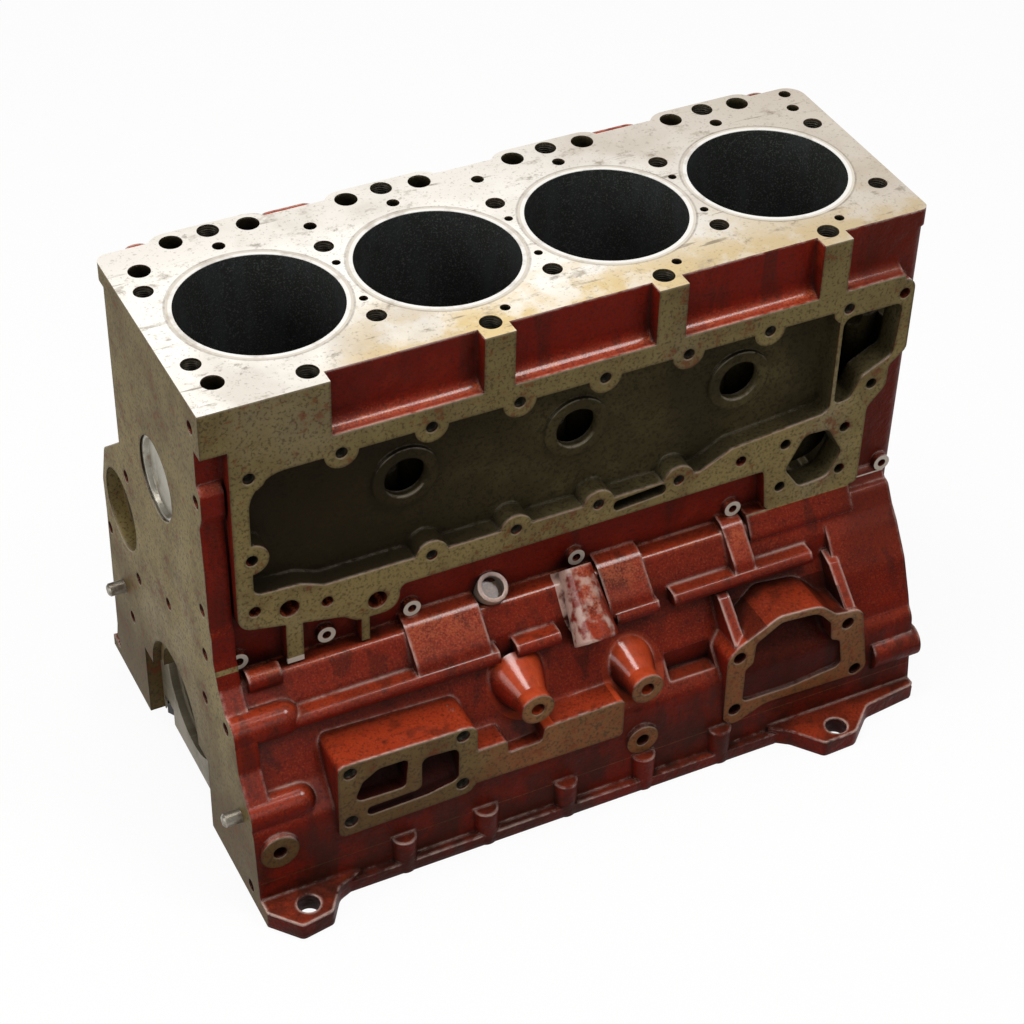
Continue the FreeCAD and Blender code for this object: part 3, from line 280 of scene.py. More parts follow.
class Surface:
    """A new material with the values that its recipe starts from."""

    def __init__(self, name):
        self.material = bpy.data.materials.new(name)
        self.material.use_nodes = True
        tree = self.material.node_tree
        self.shader = tree.nodes["Principled BSDF"]
        start = Socket(tree, None)
        self.spot = start.node("TexCoord", {}, {}, "Object")
        self.x, self.y, self.z = self.spot.parts()
        self.facing = start.node("NewGeometry", {}, {}, "True Normal")
        self.nx, self.ny, self.nz = self.facing.parts()

    def layered(self, start, layers):
        """A colour with others laid over it in turn, each by its amount."""
        start = opaque(start)
        colour = self.x.node("Mix", {"data_type": "RGBA"}, {0: 0.0, 6: start, 7: start}, 2)
        for other, amount in layers:
            colour = colour.mixed(other, amount)
        return colour

    def rounded(self, radius):
        """The surface's direction with edges rounded off to a radius."""
        return self.x.node("Bevel", {"samples": RAY_SAMPLES}, {"Radius": radius})

    def bumped(self, height, distance, normal=None):
        """The direction after a height map is laid on it."""
        values = {"Height": height, "Distance": distance}
        if normal is not None:
            values["Normal"] = normal
        return self.x.node("Bump", {}, values)

    def hollow(self, reach):
        """0 deep in a corner or hollow, 1 out in the open."""
        return self.x.node("AmbientOcclusion", {"samples": RAY_SAMPLES, "only_local": True},
                           {"Distance": reach}, "AO")

    def turn_of(self, direction):
        """0 on flat surfaces, rising to 1 where a rounded edge turns away from its face."""
        along = direction.node("VectorMath", {"operation": "DOT_PRODUCT"},
                               {0: direction, 1: self.facing}, "Value")
        return along.rise(0.985, 0.80)

    def finish(self, sockets):
        """Feed the shader's sockets with links or constant values."""
        for name, value in sockets.items():
            if isinstance(value, Socket):
                self.material.node_tree.links.new(value.link, self.shader.inputs[name])
            else:
                self.shader.inputs[name].default_value = value
        return self.material


def dress(names, material):
    """Put one material into every slot of the named CAD nodes."""
    for name in names:
        slots = frame["nodes"][name].data.materials
        slots.clear()
        slots.append(material)


# ---------------------------------------------------------------- casting


def in_box(skin, low, high):
    """1 between two corners, 0 outside."""
    return (skin.x.between(low[0], high[0]) * skin.y.between(low[1], high[1])
            * skin.z.between(low[2], high[2]))


def any_of(*masks):
    """1 where any of the masks is 1."""
    whole = masks[0]
    for mask in masks[1:]:
        whole = whole.most(mask)
    return whole


def around(first, second, at=(0, 0)):
    """Distance of two coordinates from a point."""
    a, b = first - at[0], second - at[1]
    return (a * a + b * b).maths("SQRT")


def from_cylinder(skin):
    """How far along the block the nearest cylinder's middle is."""
    return abs((skin.x / BORE_PITCH).maths("FRACT") - 0.5) * BORE_PITCH


def bore_reach(skin):
    """Distance from the nearest cylinder axis."""
    return around(from_cylinder(skin), skin.y)


def crankcase_inside(skin):
    """1 inside the crankcase: between its front wall at that height, back wall, roof and ends."""
    low, high = FRONT_WALL[0][0], FRONT_WALL[-1][0]
    level = skin.z.node("MapRange", {}, {"Value": skin.z, "From Min": low, "From Max": high})
    stops = [((z - low) / (high - low), (wall, wall, wall, 1)) for z, wall in FRONT_WALL]
    wall = level.node("ValToRGB", {"stops": stops}, {"Fac": level})
    front = (skin.y * -1) < wall
    side_recess = in_box(skin, (0.054, -0.17, 0.0135), (0.093, -0.1296, 0.060))
    back_slope = (skin.ny > 0.2) * (skin.y > 0.085) * (skin.z > 0.100)
    body = front * (skin.y < 0.1245) * (skin.z < 0.1485) * (abs(skin.x) < 0.2422)
    return body * (1 - side_recess) * (1 - back_slope)


def hidden_skin(skin):
    """1 where paint doesn't reach: jacket, bores, passages, cavity, crankcase and holes."""
    off = from_cylinder(skin)
    back_row = in_box(skin, (-0.2655, 0.0735, DECK_Z - 0.0160),
                      (0.2655, 0.0925, DECK_Z - DECK_INSET))
    back_row = back_row * (abs(skin.nz) < 0.3).most(skin.nz > 0.9)
    pushrods = (around(off, skin.y, (0.0273, 0.089)) < 0.0086) * (skin.z > 0.130)
    bolts = any_of(*(around(off, skin.y, (0, row)) < 0.0082 for row in (0.092, -0.080)))
    plugs = (around(skin.y, skin.z, (0, 0.206)) < 0.0306) * (abs(skin.x) > 0.25)
    boxes = (in_box(skin, low, high) for low, high in HOLLOWS.values())
    return any_of(*boxes, back_row, pushrods, bolts * (skin.z > 0.270), plugs,
                  crankcase_inside(skin))


def milled_planes(skin):
    """1 on the planes and seats that a cutter has been over, apart from the head face."""
    flange = abs(skin.y - FRONT_PLANE) < ON_FACE
    pads = (abs(skin.y - PAD_PLANE) < ON_PAD) * (skin.z > -0.0368)
    near_ring = (around(skin.x, skin.z, (-0.251, -0.012)) < 0.0146) * (skin.y < -0.1535)
    front = any_of(flange, pads, near_ring) * (skin.ny < -0.7)
    ends = any_of(skin.x < BLOCK_LOW.x + ON_FACE, skin.x > BLOCK_HIGH.x - ON_FACE,
                  abs(skin.x - CASE_END) < ON_FACE) * (abs(skin.nx) > 0.9)
    rail = (skin.z < FLOOR_Z + ON_PAD) * (skin.nz < -0.7)
    crank = (around(skin.y, skin.z) < 0.0466) * (skin.z < 0.05)
    cap_slots = (abs(skin.y) < 0.0645) * skin.z.between(-0.0652, 0.0004)
    inward = skin.ny * (skin.y - CAM_Y) + skin.nz * (skin.z - CAM_Z) < 0
    cam = (around(skin.y, skin.z, (CAM_Y, CAM_Z)) < 0.0314) * inward
    return any_of(front, ends, rail, crank, cap_slots, cam)


def bright_rims(skin):
    """Small bare spots: ring bosses and the foot of a flange stem, and half as much the stub."""
    rings = in_box(skin, (-0.2515, -0.0895, 0.1015), (0.262, -0.0885, 0.1155)) * (skin.ny < -0.7)
    stub = in_box(skin, (-0.0755, -0.112, 0.0982), (-0.0525, -0.0848, 0.118))
    stem_foot = in_box(skin, (-0.2175, -0.0955, 0.0985), (-0.2045, -0.0935, 0.1035))
    return any_of(rings, stub * 0.5, stem_foot)


def slanted_boss(skin):
    """1 on the boss that slants down from the shoulder at 45 degrees."""
    down, out = skin.z - 0.103, skin.y + 0.092
    aside = (out - down) * math.sqrt(0.5)
    along = (out + down) * -math.sqrt(0.5)
    return (around(skin.x, aside) < 0.0178) * along.between(0, 0.058)


def bracket_bosses(skin):
    """1 on the two bosses that carry a bracket on the skirt."""
    bosses = (around(skin.x, skin.z, middle) < 0.0240 for middle in ((-0.058, 0.044), (0.029, 0.028)))
    return any_of(*bosses) * (skin.y < -0.112)


def pad_windows(skin):
    """Inside the windows of the two side pads, for painted shade: 1 in the filter pad's, less in the
    mount pad's.
    """
    low, high = PAD_PLANE + ON_PAD, PAD_PLANE + 0.040
    filter_pad = in_box(skin, (-0.1975, low, -0.0045), (-0.1175, high, 0.0385))
    mount_pad = in_box(skin, (0.1095, low, -0.0195), (0.1945, high, 0.0505))
    return filter_pad.most(mount_pad * 0.7)


class CastSkin(Surface):
    """The casting's surface: noise from broad to fine, rounded edges, and open or closed places."""

    def __init__(self, name, edge_round):
        super().__init__(name)
        self.broad = self.spot.noise(9, 4, 0.6)
        self.patch = self.spot.noise(26, 5, 0.62)
        self.lump = self.spot.noise(70, 3, 0.5)
        self.fine = self.spot.noise(150, 4, 0.6)
        self.grain = self.spot.noise(430, 2, 0.6)
        self.speck = self.spot.noise(800, 1, 0.5)
        self.round_way = self.rounded(edge_round)
        self.tilt = self.round_way.parts()[2]
        self.open_air = self.hollow(0.03)
        self.edge = self.turn_of(self.round_way) * self.open_air.rise(0.50, 0.75)
        self.lit_edge = self.edge * self.tilt.rise(0.30, 0.60)


def enamel_colour(skin, sizes, low_shade_and_grime, windows, chip):
    """Red enamel with painted light: lighter facing up, painted highlights on edges and bosses."""
    tilt, z = skin.tilt, skin.z
    # Painted light: the enamel lighter where it faces up.
    top_light = tilt.rise(0.30, 0.90) * (0.50 + skin.patch * 0.6)
    runs = skin.spot.noise(55, 3, 0.55, (1, 1, 0.14)).rise(0.54, 0.66)
    # Painted light: an orange sheen on the shoulder's slopes that face the lamps.
    slope = tilt.rise(0.66, 0.75) * tilt.rise(0.97, 0.88) * z.rise(0.070, 0.080)
    painted_sheen = slope * (skin.speck * 0.5 + skin.fine * 0.4 + skin.lump * 0.3).rise(0.50, 0.74)
    far_shade = skin.x.rise(0.200, 0.225) * z.rise(0.02, 0.08)
    # Painted highlight: pale streaks on the edges that face up.
    painted_edge_highlight = skin.lit_edge * (1 - windows) * (skin.fine * 0.5 + skin.broad * 0.8).rise(0.50, 0.70)
    # Painted light: brighter orange on the upper side of the bracket bosses.
    bosses = bracket_bosses(skin) * tilt.rise(0.35, 0.85)
    # Worn paint on the slanted boss, with painted highlights.
    scuff_and_highlight = slanted_boss(skin) * (skin.lump + skin.fine * 0.4 - skin.x * 9).rise(0.66, 0.84)
    return skin.layered(sizes.paint, [
        (sizes.top_lit_paint, top_light),
        ((0.30, 0.030, 0.010), skin.patch.rise(0.50, 0.70) * 0.45),  # brighter patches
        ((0.060, 0.009, 0.005), skin.broad.rise(0.48, 0.70) * 0.55),  # dark clouds
        ((0.050, 0.010, 0.006), skin.grain.rise(0.50, 0.66) * 0.50),  # grit
        ((0.44, 0.075, 0.025), skin.speck.rise(0.54, 0.66) * tilt.rise(0, 0.6) * 0.35),  # specks on faces turned up: grit, partly painted glints
        # painted shade low down, with grime
        ((0.035, 0.009, 0.005), low_shade_and_grime * 0.70),
        ((0.030, 0.010, 0.006), runs * 0.45),
        ((0.014, 0.005, 0.003), skin.open_air.rise(0.80, 0.35) * 0.92),  # painted shade in hollows
        ((0.60, 0.13, 0.045), painted_sheen * z.rise(0.075, 0.100) * 0.75),
        ((0.085, 0.012, 0.005), far_shade * 0.65),
        # painted shade inside the pad windows
        ((0.012, 0.004, 0.003), windows * 0.85),
        ((0.95, 0.68, 0.58), painted_edge_highlight * 0.95),
        ((0.60, 0.075, 0.020), bosses * (0.2 + skin.fine)),
        ((0.66, 0.46, 0.38), scuff_and_highlight * 0.75),
        ((0.40, 0.30, 0.22), chip * 0.7),
    ])


def milled_colour(skin, sizes, rims):
    """Olive milled iron: darker low down, rust on the side pads, painted highlights on its lit edges.
    """
    z, patch, fine = skin.z, skin.patch, skin.fine
    side_pads = skin.y.rise(PAD_PLANE + 0.004, PAD_PLANE + 0.001)
    dull_edge = skin.edge * (1 - skin.lit_edge)
    return skin.layered(sizes.machined, [
        ((0.15, 0.105, 0.045), patch.rise(0.40, 0.66) * 0.65),  # darker patches
        ((0.42, 0.35, 0.23), skin.broad.rise(0.50, 0.72) * 0.40),  # pale clouds
        ((0.10, 0.062, 0.022), (z * -1 + patch * 0.1).rise(-0.06, 0.09) * 0.85),  # darker low down
        ((0.13, 0.095, 0.040), z.rise(0.20, 0.29) * 0.35),  # dull towards the top
        ((0.32, 0.085, 0.030), side_pads * skin.x.rise(-0.125, -0.07) * fine),  # rust
        ((0.13, 0.055, 0.020), side_pads * skin.x.rise(-0.10, -0.14) * (0.2 + fine * 0.7)),
        ((0.045, 0.032, 0.018), skin.grain.rise(0.50, 0.66) * 0.60),  # grit
        ((0.17, 0.040, 0.016), (fine + patch * 0.6).rise(0.88, 1.0) * 0.6),  # rust freckles
        ((0.05, 0.035, 0.02), dull_edge * (0.3 + fine) * 0.8),
        # painted highlight on edges that face up
        ((0.66, 0.57, 0.44), skin.lit_edge * (0.15 + fine * 0.8)),
        ((0.030, 0.022, 0.012), skin.open_air.rise(0.70, 0.25) * 0.8),  # painted shade in hollows
        ((0.72, 0.64, 0.55), rims * 0.85),
    ])


def head_face_colour(skin, sizes):
    """Ground iron: tan near the front, grey clouds and scratches, a line round each liner, painted
    shade far back.
    """
    x, y, patch = skin.x, skin.y, skin.patch
    tan = (patch.rise(0.40, 0.60) + y.rise(-0.05, -0.09) * 0.6) * y.rise(0.01, -0.08)
    cloud = skin.spot.noise(42, 5, 0.7, (1, 1.6, 1))
    scratch = skin.spot.noise(60, 2, 0.6, (0.25, 2.4, 1)).rise(0.63, 0.68)
    gap = abs(bore_reach(skin) - BORE_RADIUS - 0.0050).rise(0.0012, 0.0004)
    gap = gap * (abs(x) < BORE_PITCH * 2)
    return skin.layered(sizes.head_face, [
        ((0.74, 0.57, 0.30), tan * x.rise(-0.20, -0.13) * 0.75),
        ((0.60, 0.54, 0.48), y.rise(0.03, 0.09) * 0.35),  # painted shade, darker towards the back
        ((0.50, 0.43, 0.35), skin.broad.rise(0.46, 0.68) * 0.50),
        ((0.46, 0.38, 0.29), x.rise(-0.04, 0.26) * 0.60),  # painted shade, darker towards the far end
        ((0.34, 0.28, 0.21), cloud.rise(0.56, 0.72) * 0.60),
        ((0.24, 0.20, 0.16), (skin.fine * 0.6 + cloud * 0.55).rise(0.66, 0.76) * 0.55),
        ((0.22, 0.18, 0.14), skin.grain.rise(0.58, 0.70) * 0.35),
        ((0.20, 0.16, 0.12), scratch * patch.rise(0.45, 0.60) * 0.7),
        ((0.24, 0.20, 0.17), gap * (cloud * 1.1 - 0.1)),
    ])


def bare_colour(skin, sizes):
    """Cast skin that was never painted: streaked, darker towards the near end, painted highlights on
    lit edges.
    """
    streaks = skin.spot.noise(14, 2, 0.5, (1, 1, 0.05)).rise(0.50, 0.66)
    # Painted highlight: pale streaks on edges that face up.
    bare_edge_highlight = skin.lit_edge * (skin.fine + skin.patch * 0.5).rise(0.55, 0.8)
    return skin.layered(sizes.bare_cast, [
        ((0.15, 0.12, 0.055), skin.patch.rise(0.44, 0.70) * 0.5),
        ((0.020, 0.013, 0.006), skin.x.rise(0.05, -0.18) * 0.85),
        ((0.020, 0.015, 0.008), streaks * 0.5),
        ((0.020, 0.014, 0.008), skin.grain.rise(0.50, 0.64) * 0.55),
        # painted shade in hollows
        ((0.010, 0.008, 0.005), skin.open_air.rise(0.65, 0.2) * 0.9),
        ((0.55, 0.47, 0.36), bare_edge_highlight * 0.8),
    ])


def painted_iron(sizes):
    """Red enamel over sand-cast iron, bare where it is machined or closed in."""
    skin = CastSkin("painted_cast_iron", sizes.edge_round)
    deck = (skin.z > DECK_Z - ON_PAD) * (skin.nz > 0.7)
    milled = milled_planes(skin)
    inside = hidden_skin(skin)
    rims = bright_rims(skin)
    windows = pad_windows(skin)
    cut = any_of(deck, milled, rims)
    # Painted shade low down, with grime: the enamel darker towards the bottom.
    low_shade_and_grime = skin.z.rise(0.045, -0.045) * (0.25 + skin.patch.rise(0.35, 0.6))
    chip = (skin.grain * 0.5 + skin.patch * 0.6).rise(0.76, 0.80)

    base = enamel_colour(skin, sizes, low_shade_and_grime, windows, chip)
    base = base.mixed(bare_colour(skin, sizes), inside)
    base = base.mixed(milled_colour(skin, sizes, rims), milled.most(rims))
    base = base.mixed(head_face_colour(skin, sizes), deck)

    rough = (0.36 + skin.fine * 0.2) * (1 - inside) + (0.66 + skin.patch * 0.2) * inside
    rough = rough * (1 - cut) + (0.46 + skin.patch * 0.18) * cut
    enamel = (1 - inside.most(cut)) * (1 - chip) * (1 - windows)
    coat = enamel * skin.tilt.rise(0.35, 0.70).most(skin.lit_edge) * (1 - low_shade_and_grime * 0.5)

    lumps = skin.grain * 0.35 + skin.fine * 0.8 + skin.lump * 1.6 + skin.patch * 1.4
    cast_way = skin.bumped(lumps, sizes.sand_grain, skin.round_way)
    cutter_lines = skin.spot.noise(700, 2, 0.5, (1, 0.03, 1)) + skin.grain * 0.4
    cut_way = skin.bumped(cutter_lines, 0.00006)
    way = skin.x.node("Mix", {"data_type": "VECTOR"}, {0: cut, 4: cast_way, 5: cut_way}, 1)
    return skin.finish({"Base Color": base, "Roughness": rough, "Metallic": cut * 0.22,
                        "Coat Weight": coat, "Normal": way, "Coat Roughness": 0.17,
                        "Specular IOR Level": 0.07})


class ENGINE_BLOCK_OT_casting(bpy.types.Operator):
    """Paint the casting and bare its machined faces"""
    bl_idname = "engine_block.casting"
    bl_label = "Casting"

    def execute(self, context):
        dress(["cylinder_block"], painted_iron(context.scene.block_finish))
        return {"FINISHED"}


# ---------------------------------------------------------------- pieces in the casting


def honed_iron():
    """Dark oiled bore with crossed honing lines; the top flange is ground bright.

    The lines are sines of 900 times the height plus or less 38 times the angle round the bore.
    """
    skin = Surface("honed_liner_iron")
    top = skin.z > DECK_Z - INSET
    reach = bore_reach(skin)
    angle = (skin.y / (reach + 0.001)).maths("ARCSINE")
    one_way = (skin.z * 900 + angle * 38).maths("SINE")
    other_way = (skin.z * 900 - angle * 38).maths("SINE")
    streak = skin.spot.noise(60, 4, 0.6, (1, 1, 0.3))
    speck = skin.spot.noise(850, 2, 0.55)
    outer_ring = reach.rise(BORE_RADIUS + 0.0024, BORE_RADIUS + 0.0030)
    face = skin.layered((0.92, 0.90, 0.86), [
        ((0.66, 0.58, 0.46), outer_ring * 0.7),
        ((0.45, 0.38, 0.30), streak.rise(0.50, 0.68) * 0.5),
    ])
    base = skin.layered((0.042, 0.046, 0.042), [
        ((0.17, 0.18, 0.165), speck.rise(0.50, 0.70) * 0.75),
        ((0.075, 0.080, 0.085), streak.rise(0.45, 0.7) * 0.6),
        (face, top),
    ])
    rough = (0.42 + streak * 0.2) * (1 - top) + top * 0.3
    way = skin.bumped(one_way * 0.5 + other_way * 0.5 + speck, 0.00004)
    return skin.finish({"Base Color": base, "Roughness": rough, "Normal": way,
                        "Metallic": 0.40 - top * 0.25, "Specular IOR Level": 0.3})


class ENGINE_BLOCK_OT_liners(bpy.types.Operator):
    """Hone the four liners"""
    bl_idname = "engine_block.liners"
    bl_label = "Liners"

    def execute(self, context):
        dress([f"cylinder_liner_{count}" for count in range(1, 5)], honed_iron())
        return {"FINISHED"}


def milled_cap_iron():
    """Main caps: milled grey iron with a cutter's lay, and painted shade in the hollows."""
    skin = Surface("milled_cap_iron")
    patch = skin.spot.noise(30, 4, 0.6)
    lay = skin.spot.noise(600, 2, 0.5, (0.04, 1, 1))
    base = skin.layered((0.24, 0.205, 0.145), [
        ((0.11, 0.09, 0.055), patch.rise(0.42, 0.68) * 0.7),
        ((0.36, 0.32, 0.25), lay.rise(0.5, 0.8) * 0.4),
        # painted shade in the hollows
        ((0.05, 0.04, 0.028), skin.hollow(0.012).rise(0.8, 0.3) * 0.7),
    ])
    rough = 0.40 + patch * 0.25
    return skin.finish({"Base Color": base, "Roughness": rough,
                        "Normal": skin.bumped(lay, 0.00008, skin.rounded(0.0008)),
                        "Metallic": 0.5, "Specular IOR Level": 0.3})


def black_bolt_steel():
    """Cap bolts: black oxide with rubbed edges and dried oil."""
    skin = Surface("black_bolt_steel")
    patch = skin.spot.noise(120, 4, 0.6)
    rounded = skin.rounded(0.0007)
    base = skin.layered((0.035, 0.034, 0.033), [
        ((0.09, 0.07, 0.05), patch.rise(0.5, 0.7) * 0.5),
        ((0.32, 0.30, 0.28), skin.turn_of(rounded) * 0.7),
    ])
    return skin.finish({"Base Color": base, "Roughness": 0.32 + patch * 0.2,
                        "Normal": skin.bumped(patch, 0.00005, rounded), "Metallic": 0.85})


class ENGINE_BLOCK_OT_caps(bpy.types.Operator):
    """Finish the main caps and their bolts"""
    bl_idname = "engine_block.caps"
    bl_label = "Main caps and bolts"

    def execute(self, context):
        dress([f"main_bearing_cap_{count}" for count in range(1, 6)], milled_cap_iron())
        dress(["main_cap_bolts"], black_bolt_steel())
        return {"FINISHED"}


def pressed_plug_steel():
    """Core plugs: bright pressed sheet with a few rust freckles."""
    skin = Surface("pressed_plug_steel")
    fine = skin.spot.noise(240, 4, 0.6)
    patch = skin.spot.noise(60, 4, 0.6)
    base = skin.layered((0.48, 0.45, 0.38), [
        ((0.20, 0.17, 0.12), patch.rise(0.48, 0.7) * 0.7),
        ((0.25, 0.10, 0.04), (fine * 0.6 + patch * 0.5).rise(0.64, 0.74) * 0.6),
        # painted shade in the hollows
        ((0.07, 0.06, 0.045), skin.hollow(0.006).rise(0.8, 0.3) * 0.8),
    ])
    return skin.finish({"Base Color": base, "Roughness": 0.30 + fine * 0.25,
                        "Normal": skin.bumped(fine, 0.00006, skin.rounded(0.001)),
                        "Metallic": 0.75})


def bearing_bronze():
    """Cam bushes: bored bearing metal over a steel back, with fine turning lines."""
    skin = Surface("bearing_bush_metal")
    lines = (skin.x * 9000).maths("SINE")
    patch = skin.spot.noise(70, 4, 0.6)
    base = skin.layered((0.36, 0.27, 0.16), [
        ((0.14, 0.11, 0.08), patch.rise(0.45, 0.68) * 0.7),
    ])
    return skin.finish({"Base Color": base, "Roughness": 0.28 + patch * 0.25,
                        "Normal": skin.bumped(lines + patch, 0.00003), "Metallic": 0.8})


def ground_pin_steel():
    """Dowels: ground steel, dulled by handling in patches."""
    skin = Surface("ground_pin_steel")
    lines = skin.spot.noise(500, 2, 0.5, (6, 1, 1))
    patch = skin.spot.noise(150, 4, 0.6)
    base = skin.layered((0.34, 0.31, 0.26), [
        ((0.12, 0.08, 0.05), patch.rise(0.45, 0.65) * 0.7),
    ])
    return skin.finish({"Base Color": base, "Roughness": 0.3 + patch * 0.25,
                        "Normal": skin.bumped(lines, 0.00005, skin.rounded(0.0008)),
                        "Metallic": 0.8})


class ENGINE_BLOCK_OT_fittings(bpy.types.Operator):
    """Finish the core plugs, cam bushes and dowels"""
    bl_idname = "engine_block.fittings"
    bl_label = "Plugs, bushes and dowels"

    def execute(self, context):
        plugs = [name for name in frame["nodes"] if name.startswith("core_plug")]
        dress(plugs, pressed_plug_steel())
        dress([f"cam_bush_{count}" for count in range(1, 6)], bearing_bronze())
        dress(["end_dowel_1", "end_dowel_2"], ground_pin_steel())
        return {"FINISHED"}


# ---------------------------------------------------------------- threads


def hole_centres(mount):
    """Centres of a mount's holes: a line or the corners of a rectangle about its middle."""
    axis = Vector(mount["axis"])
    ways = [way for way in (Vector((1, 0, 0)), Vector((0, 1, 0)), Vector((0, 0, 1)))
            if abs(way.dot(axis)) < 0.5]
    dims = mount["dims"]
    middle = Vector(mount["pos_m"])
    across = dims.get("spacing_x_mm", 0) / 1000
    up = dims.get("spacing_y_mm", 0) / 1000
    if across and up:
        return [middle + ways[0] * a * across / 2 + ways[1] * b * up / 2
                for a in (-1, 1) for b in (-1, 1)]
    way, step = (ways[0], across) if across else (ways[1], up)
    first = -(dims["count"] - 1) / 2
    return [middle + way * (first + n) * step for n in range(dims["count"])]


def thread_grid(centre, outward, radius, sizes):
    """Points of a threaded sleeve in a hole, as rows down the hole and columns around it.

    Down the inside, the radius is the hole's less the height of a crest times a triangle wave of
    depth over pitch plus angle over a full turn, so the crest climbs one pitch in each turn. The
    last rows run back up the hole's wall, which closes the sleeve.
    """
    steps = int(THREAD_ROWS * sizes.length / sizes.pitch)
    depth = sizes.lead_in + sizes.length * np.linspace(0, 1, steps + 1)[:, None]
    angle = np.linspace(0, 2 * math.pi, THREAD_COLUMNS, endpoint=False)[None, :]
    phase = (depth / sizes.pitch + angle / (2 * math.pi)) % 1
    crest = 1 - abs(2 * phase - 1)
    fade = np.clip(np.minimum(depth - depth[0], depth[-1] - depth) / sizes.pitch, 0, 1)
    inner = radius - sizes.height * (ROOT_SHARE + (1 - ROOT_SHARE) * crest * fade)
    wall = np.full((2, angle.size), radius - WALL_GAP)
    reach = np.vstack([inner, wall])
    back_up = np.broadcast_to(depth[[-1, 0]], wall.shape)
    down = np.vstack([np.broadcast_to(depth, inner.shape), back_up])
    way = Vector(outward).normalized()
    side = way.orthogonal().normalized()
    other = way.cross(side)
    flat = reach[..., None] * (np.cos(angle)[..., None] * np.array(side)
                               + np.sin(angle)[..., None] * np.array(other))
    return np.array(centre) + flat - down[..., None] * np.array(way)


def closed_mesh(name, grids):
    """One object from grids of points whose rows and columns both run round and close."""
    points, faces, start = [], [], 0
    for grid in grids:
        rows, columns = grid.shape[:2]
        index = start + np.arange(rows * columns).reshape(rows, columns)
        below = np.roll(index, -1, axis=0)
        quads = np.stack([index, np.roll(index, -1, axis=1),
                          np.roll(below, -1, axis=1), below], axis=-1)
        points.append(grid.reshape(-1, 3))
        faces.append(quads.reshape(-1, 4))
        start += rows * columns
    mesh = bpy.data.meshes.new(name)
    mesh.from_pydata(np.vstack(points).tolist(), [], np.vstack(faces).tolist())
    mesh.update()
    piece = bpy.data.objects.new(name, mesh)
    bpy.context.scene.collection.objects.link(piece)
    return piece


def cut_thread_iron():
    """Threads: freshly cut iron, with painted shade in the roots."""
    skin = Surface("cut_thread_iron")
    patch = skin.spot.noise(200, 3, 0.6)
    base = skin.layered((0.055, 0.045, 0.03), [
        # painted shade in the thread roots
        ((0.025, 0.02, 0.015), skin.hollow(0.002).rise(0.9, 0.4) * 0.8),
        ((0.20, 0.17, 0.12), patch.rise(0.55, 0.7) * 0.4),
    ])
    return skin.finish({"Base Color": base, "Roughness": 0.35 + patch * 0.2,
                        "Normal": skin.bumped(patch, 0.00004), "Metallic": 0.5})


def add_threads(name, mounts, sizes, material):
    """Threads in every hole of some mounts, as one piece."""
    grids = [thread_grid(centre, mount["axis"], mount["dims"]["hole_r_mm"] / 1000, sizes)
             for mount in mounts for centre in hole_centres(mount)]
    piece = closed_mesh(name, grids)
    piece.data.materials.append(material)
    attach(piece, "root")


class ENGINE_BLOCK_OT_threads(bpy.types.Operator):
    """Cut the threads of the head bolts, cover screws and side pad screws"""
    bl_idname = "engine_block.threads"
    bl_label = "Threads"

    def execute(self, context):
        sizes = context.scene.block_threads
        iron = cut_thread_iron()
        for name, start in (("head_bolt_threads", "head_bolts"),
                            ("cover_screw_threads", "cooler_screws"),
                            ("side_pad_threads", "filter_pad")):
            mounts = [mount for key, mount in MOUNTS.items() if key.startswith(start)]
            add_threads(name, mounts, sizes, iron)
        return {"FINISHED"}


# ---------------------------------------------------------------- stage


def white_sweep(sizes):
    """White floor for the camera and for reflections, with a soft shadow; grey to other rays."""
    half = sizes.floor_size / 2
    mesh = bpy.data.meshes.new("studio_floor")
    mesh.from_pydata([(-half, -half, FLOOR_Z), (half, -half, FLOOR_Z),
                      (half, half, FLOOR_Z), (-half, half, FLOOR_Z)], [], [(0, 1, 2, 3)])
    floor = bpy.data.objects.new("studio_floor", mesh)
    bpy.context.scene.collection.objects.link(floor)
    skin = Surface("studio_floor")
    seen = any_of(*(skin.x.node("LightPath", {}, {}, f"Is {kind} Ray")
                    for kind in ("Camera", "Glossy", "Transmission")))
    glow = skin.x.node("Emission", {}, {"Color": (1, 1, 1, 1), "Strength": 1.0})
    shade = skin.layered((0.3, 0.3, 0.3), [((0.9, 0.9, 0.9), seen)])
    matt = skin.x.node("BsdfDiffuse", {}, {"Color": shade})
    mixed = skin.x.node("MixShader", {}, {0: seen * sizes.floor_glow, 1: matt, 2: glow})
    output = skin.material.node_tree.nodes["Material Output"]
    mixed.tree.links.new(mixed.link, output.inputs["Surface"])
    mesh.materials.append(skin.material)


def add_lamp(name, place, size, power, colour):
    """A square soft lamp at a place, turned to the point that all lamps face."""
    lamp = bpy.data.lights.new(name, "AREA")
    lamp.size = size
    lamp.energy = power
    lamp.color = colour
    thing = bpy.data.objects.new(name, lamp)
    thing.location = place
    thing.rotation_euler = (Vector(LAMP_AIM) - Vector(place)).to_track_quat("-Z", "Y").to_euler()
    bpy.context.scene.collection.objects.link(thing)


def add_camera(sizes):
    """The camera, from the point it looks at, its turn, height angle, roll and distance."""
    turn, tip, roll = sizes.camera_turn, sizes.camera_height, sizes.camera_roll
    back = Vector((math.sin(turn) * math.cos(tip), -math.cos(turn) * math.cos(tip),
                   math.sin(tip)))
    right = Vector((0, 0, 1)).cross(back).normalized()
    up = back.cross(right)
    right, up = (right * math.cos(roll) + up * math.sin(roll),
                 up * math.cos(roll) - right * math.sin(roll))
    lens = bpy.data.cameras.new("camera")
    lens.lens = sizes.camera_lens
    lens.sensor_width = 36
    camera = bpy.data.objects.new("camera", lens)
    turned = Matrix((right, up, back)).transposed().to_4x4()
    place = Vector(sizes.camera_aim) + back * sizes.camera_distance
    camera.matrix_world = Matrix.Translation(place) @ turned
    bpy.context.scene.collection.objects.link(camera)
    bpy.context.scene.camera = camera


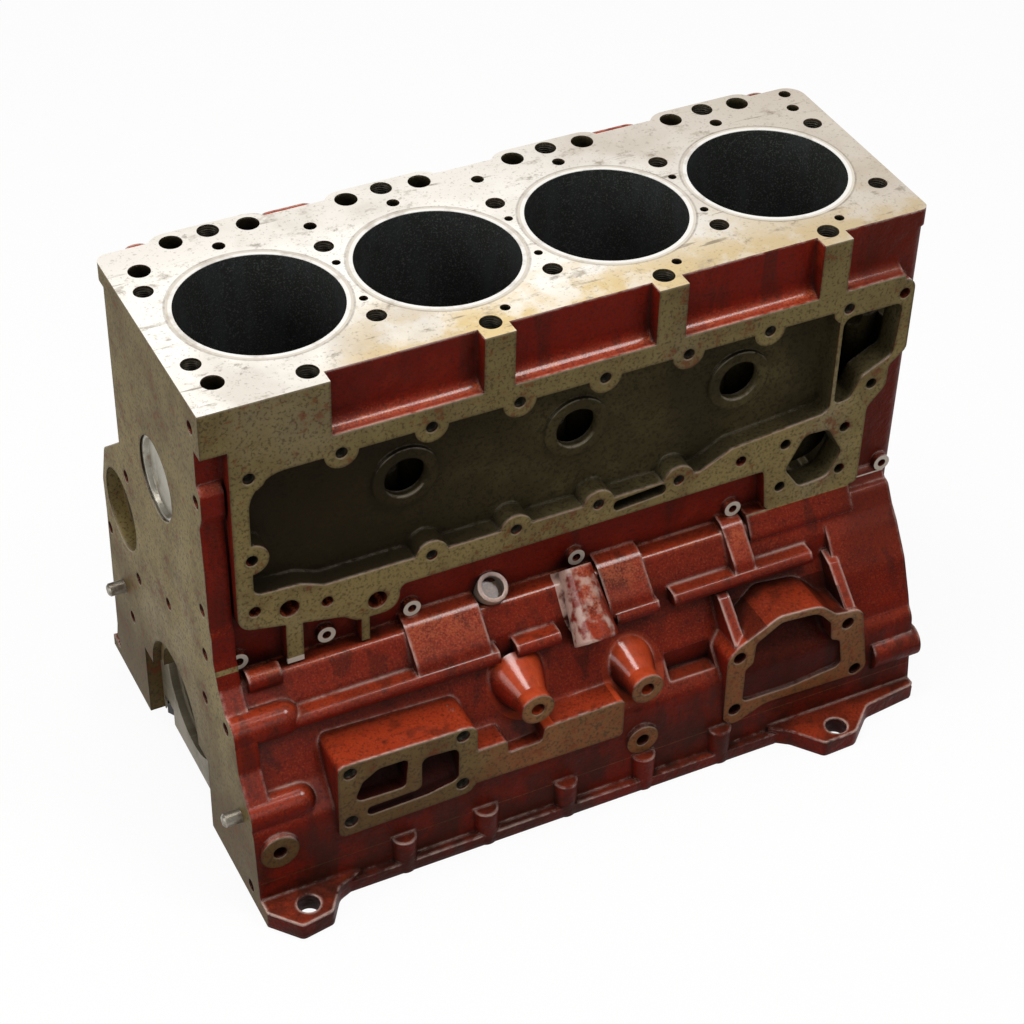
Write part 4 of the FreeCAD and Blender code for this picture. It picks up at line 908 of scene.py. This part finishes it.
class ENGINE_BLOCK_OT_stage(bpy.types.Operator):
    """Lay the floor, hang the lamps and place the camera"""
    bl_idname = "engine_block.stage"
    bl_label = "Stage"

    def execute(self, context):
        sizes = context.scene.block_stage
        white_sweep(sizes)
        for name, lamp in LAMPS.items():
            add_lamp(name, *lamp)
        world = bpy.data.worlds.new("studio")
        context.scene.world = world
        world.use_nodes = True
        light = world.node_tree.nodes["Background"].inputs
        light["Color"].default_value = (1, 1, 1, 1)
        light["Strength"].default_value = sizes.world_light
        add_camera(sizes)
        context.scene.view_settings.view_transform = "Standard"
        return {"FINISHED"}


# ---------------------------------------------------------------- panel and registration


class ENGINE_BLOCK_PT_panel(bpy.types.Panel):
    """Lists the block's finishing steps and their sizes"""
    bl_idname = "ENGINE_BLOCK_PT_panel"
    bl_label = "Engine block"
    bl_space_type = "VIEW_3D"
    bl_region_type = "UI"
    bl_category = "Engine block"

    def draw(self, context):
        for group in (context.scene.block_finish, context.scene.block_threads,
                      context.scene.block_stage):
            column = self.layout.column()
            for name in group.__annotations__:
                column.prop(group, name)
        for step in STEPS:
            self.layout.operator(step.bl_idname)


GROUPS = {"block_finish": BlockFinish, "block_threads": ThreadSizes, "block_stage": StageSizes}
STEPS = [ENGINE_BLOCK_OT_casting, ENGINE_BLOCK_OT_liners, ENGINE_BLOCK_OT_caps,
         ENGINE_BLOCK_OT_fittings, ENGINE_BLOCK_OT_threads, ENGINE_BLOCK_OT_stage]


def register():
    for kind in (*GROUPS.values(), *STEPS, ENGINE_BLOCK_PT_panel):
        bpy.utils.register_class(kind)
    for name, kind in GROUPS.items():
        setattr(bpy.types.Scene, name, PointerProperty(type=kind))


def unregister():
    for name in GROUPS:
        delattr(bpy.types.Scene, name)
    for kind in (ENGINE_BLOCK_PT_panel, *reversed(STEPS), *GROUPS.values()):
        bpy.utils.unregister_class(kind)


def main():
    register()
    for step in STEPS:
        group, name = step.bl_idname.split(".")
        getattr(getattr(bpy.ops, group), name)()


if __name__ == "__main__":
    main()
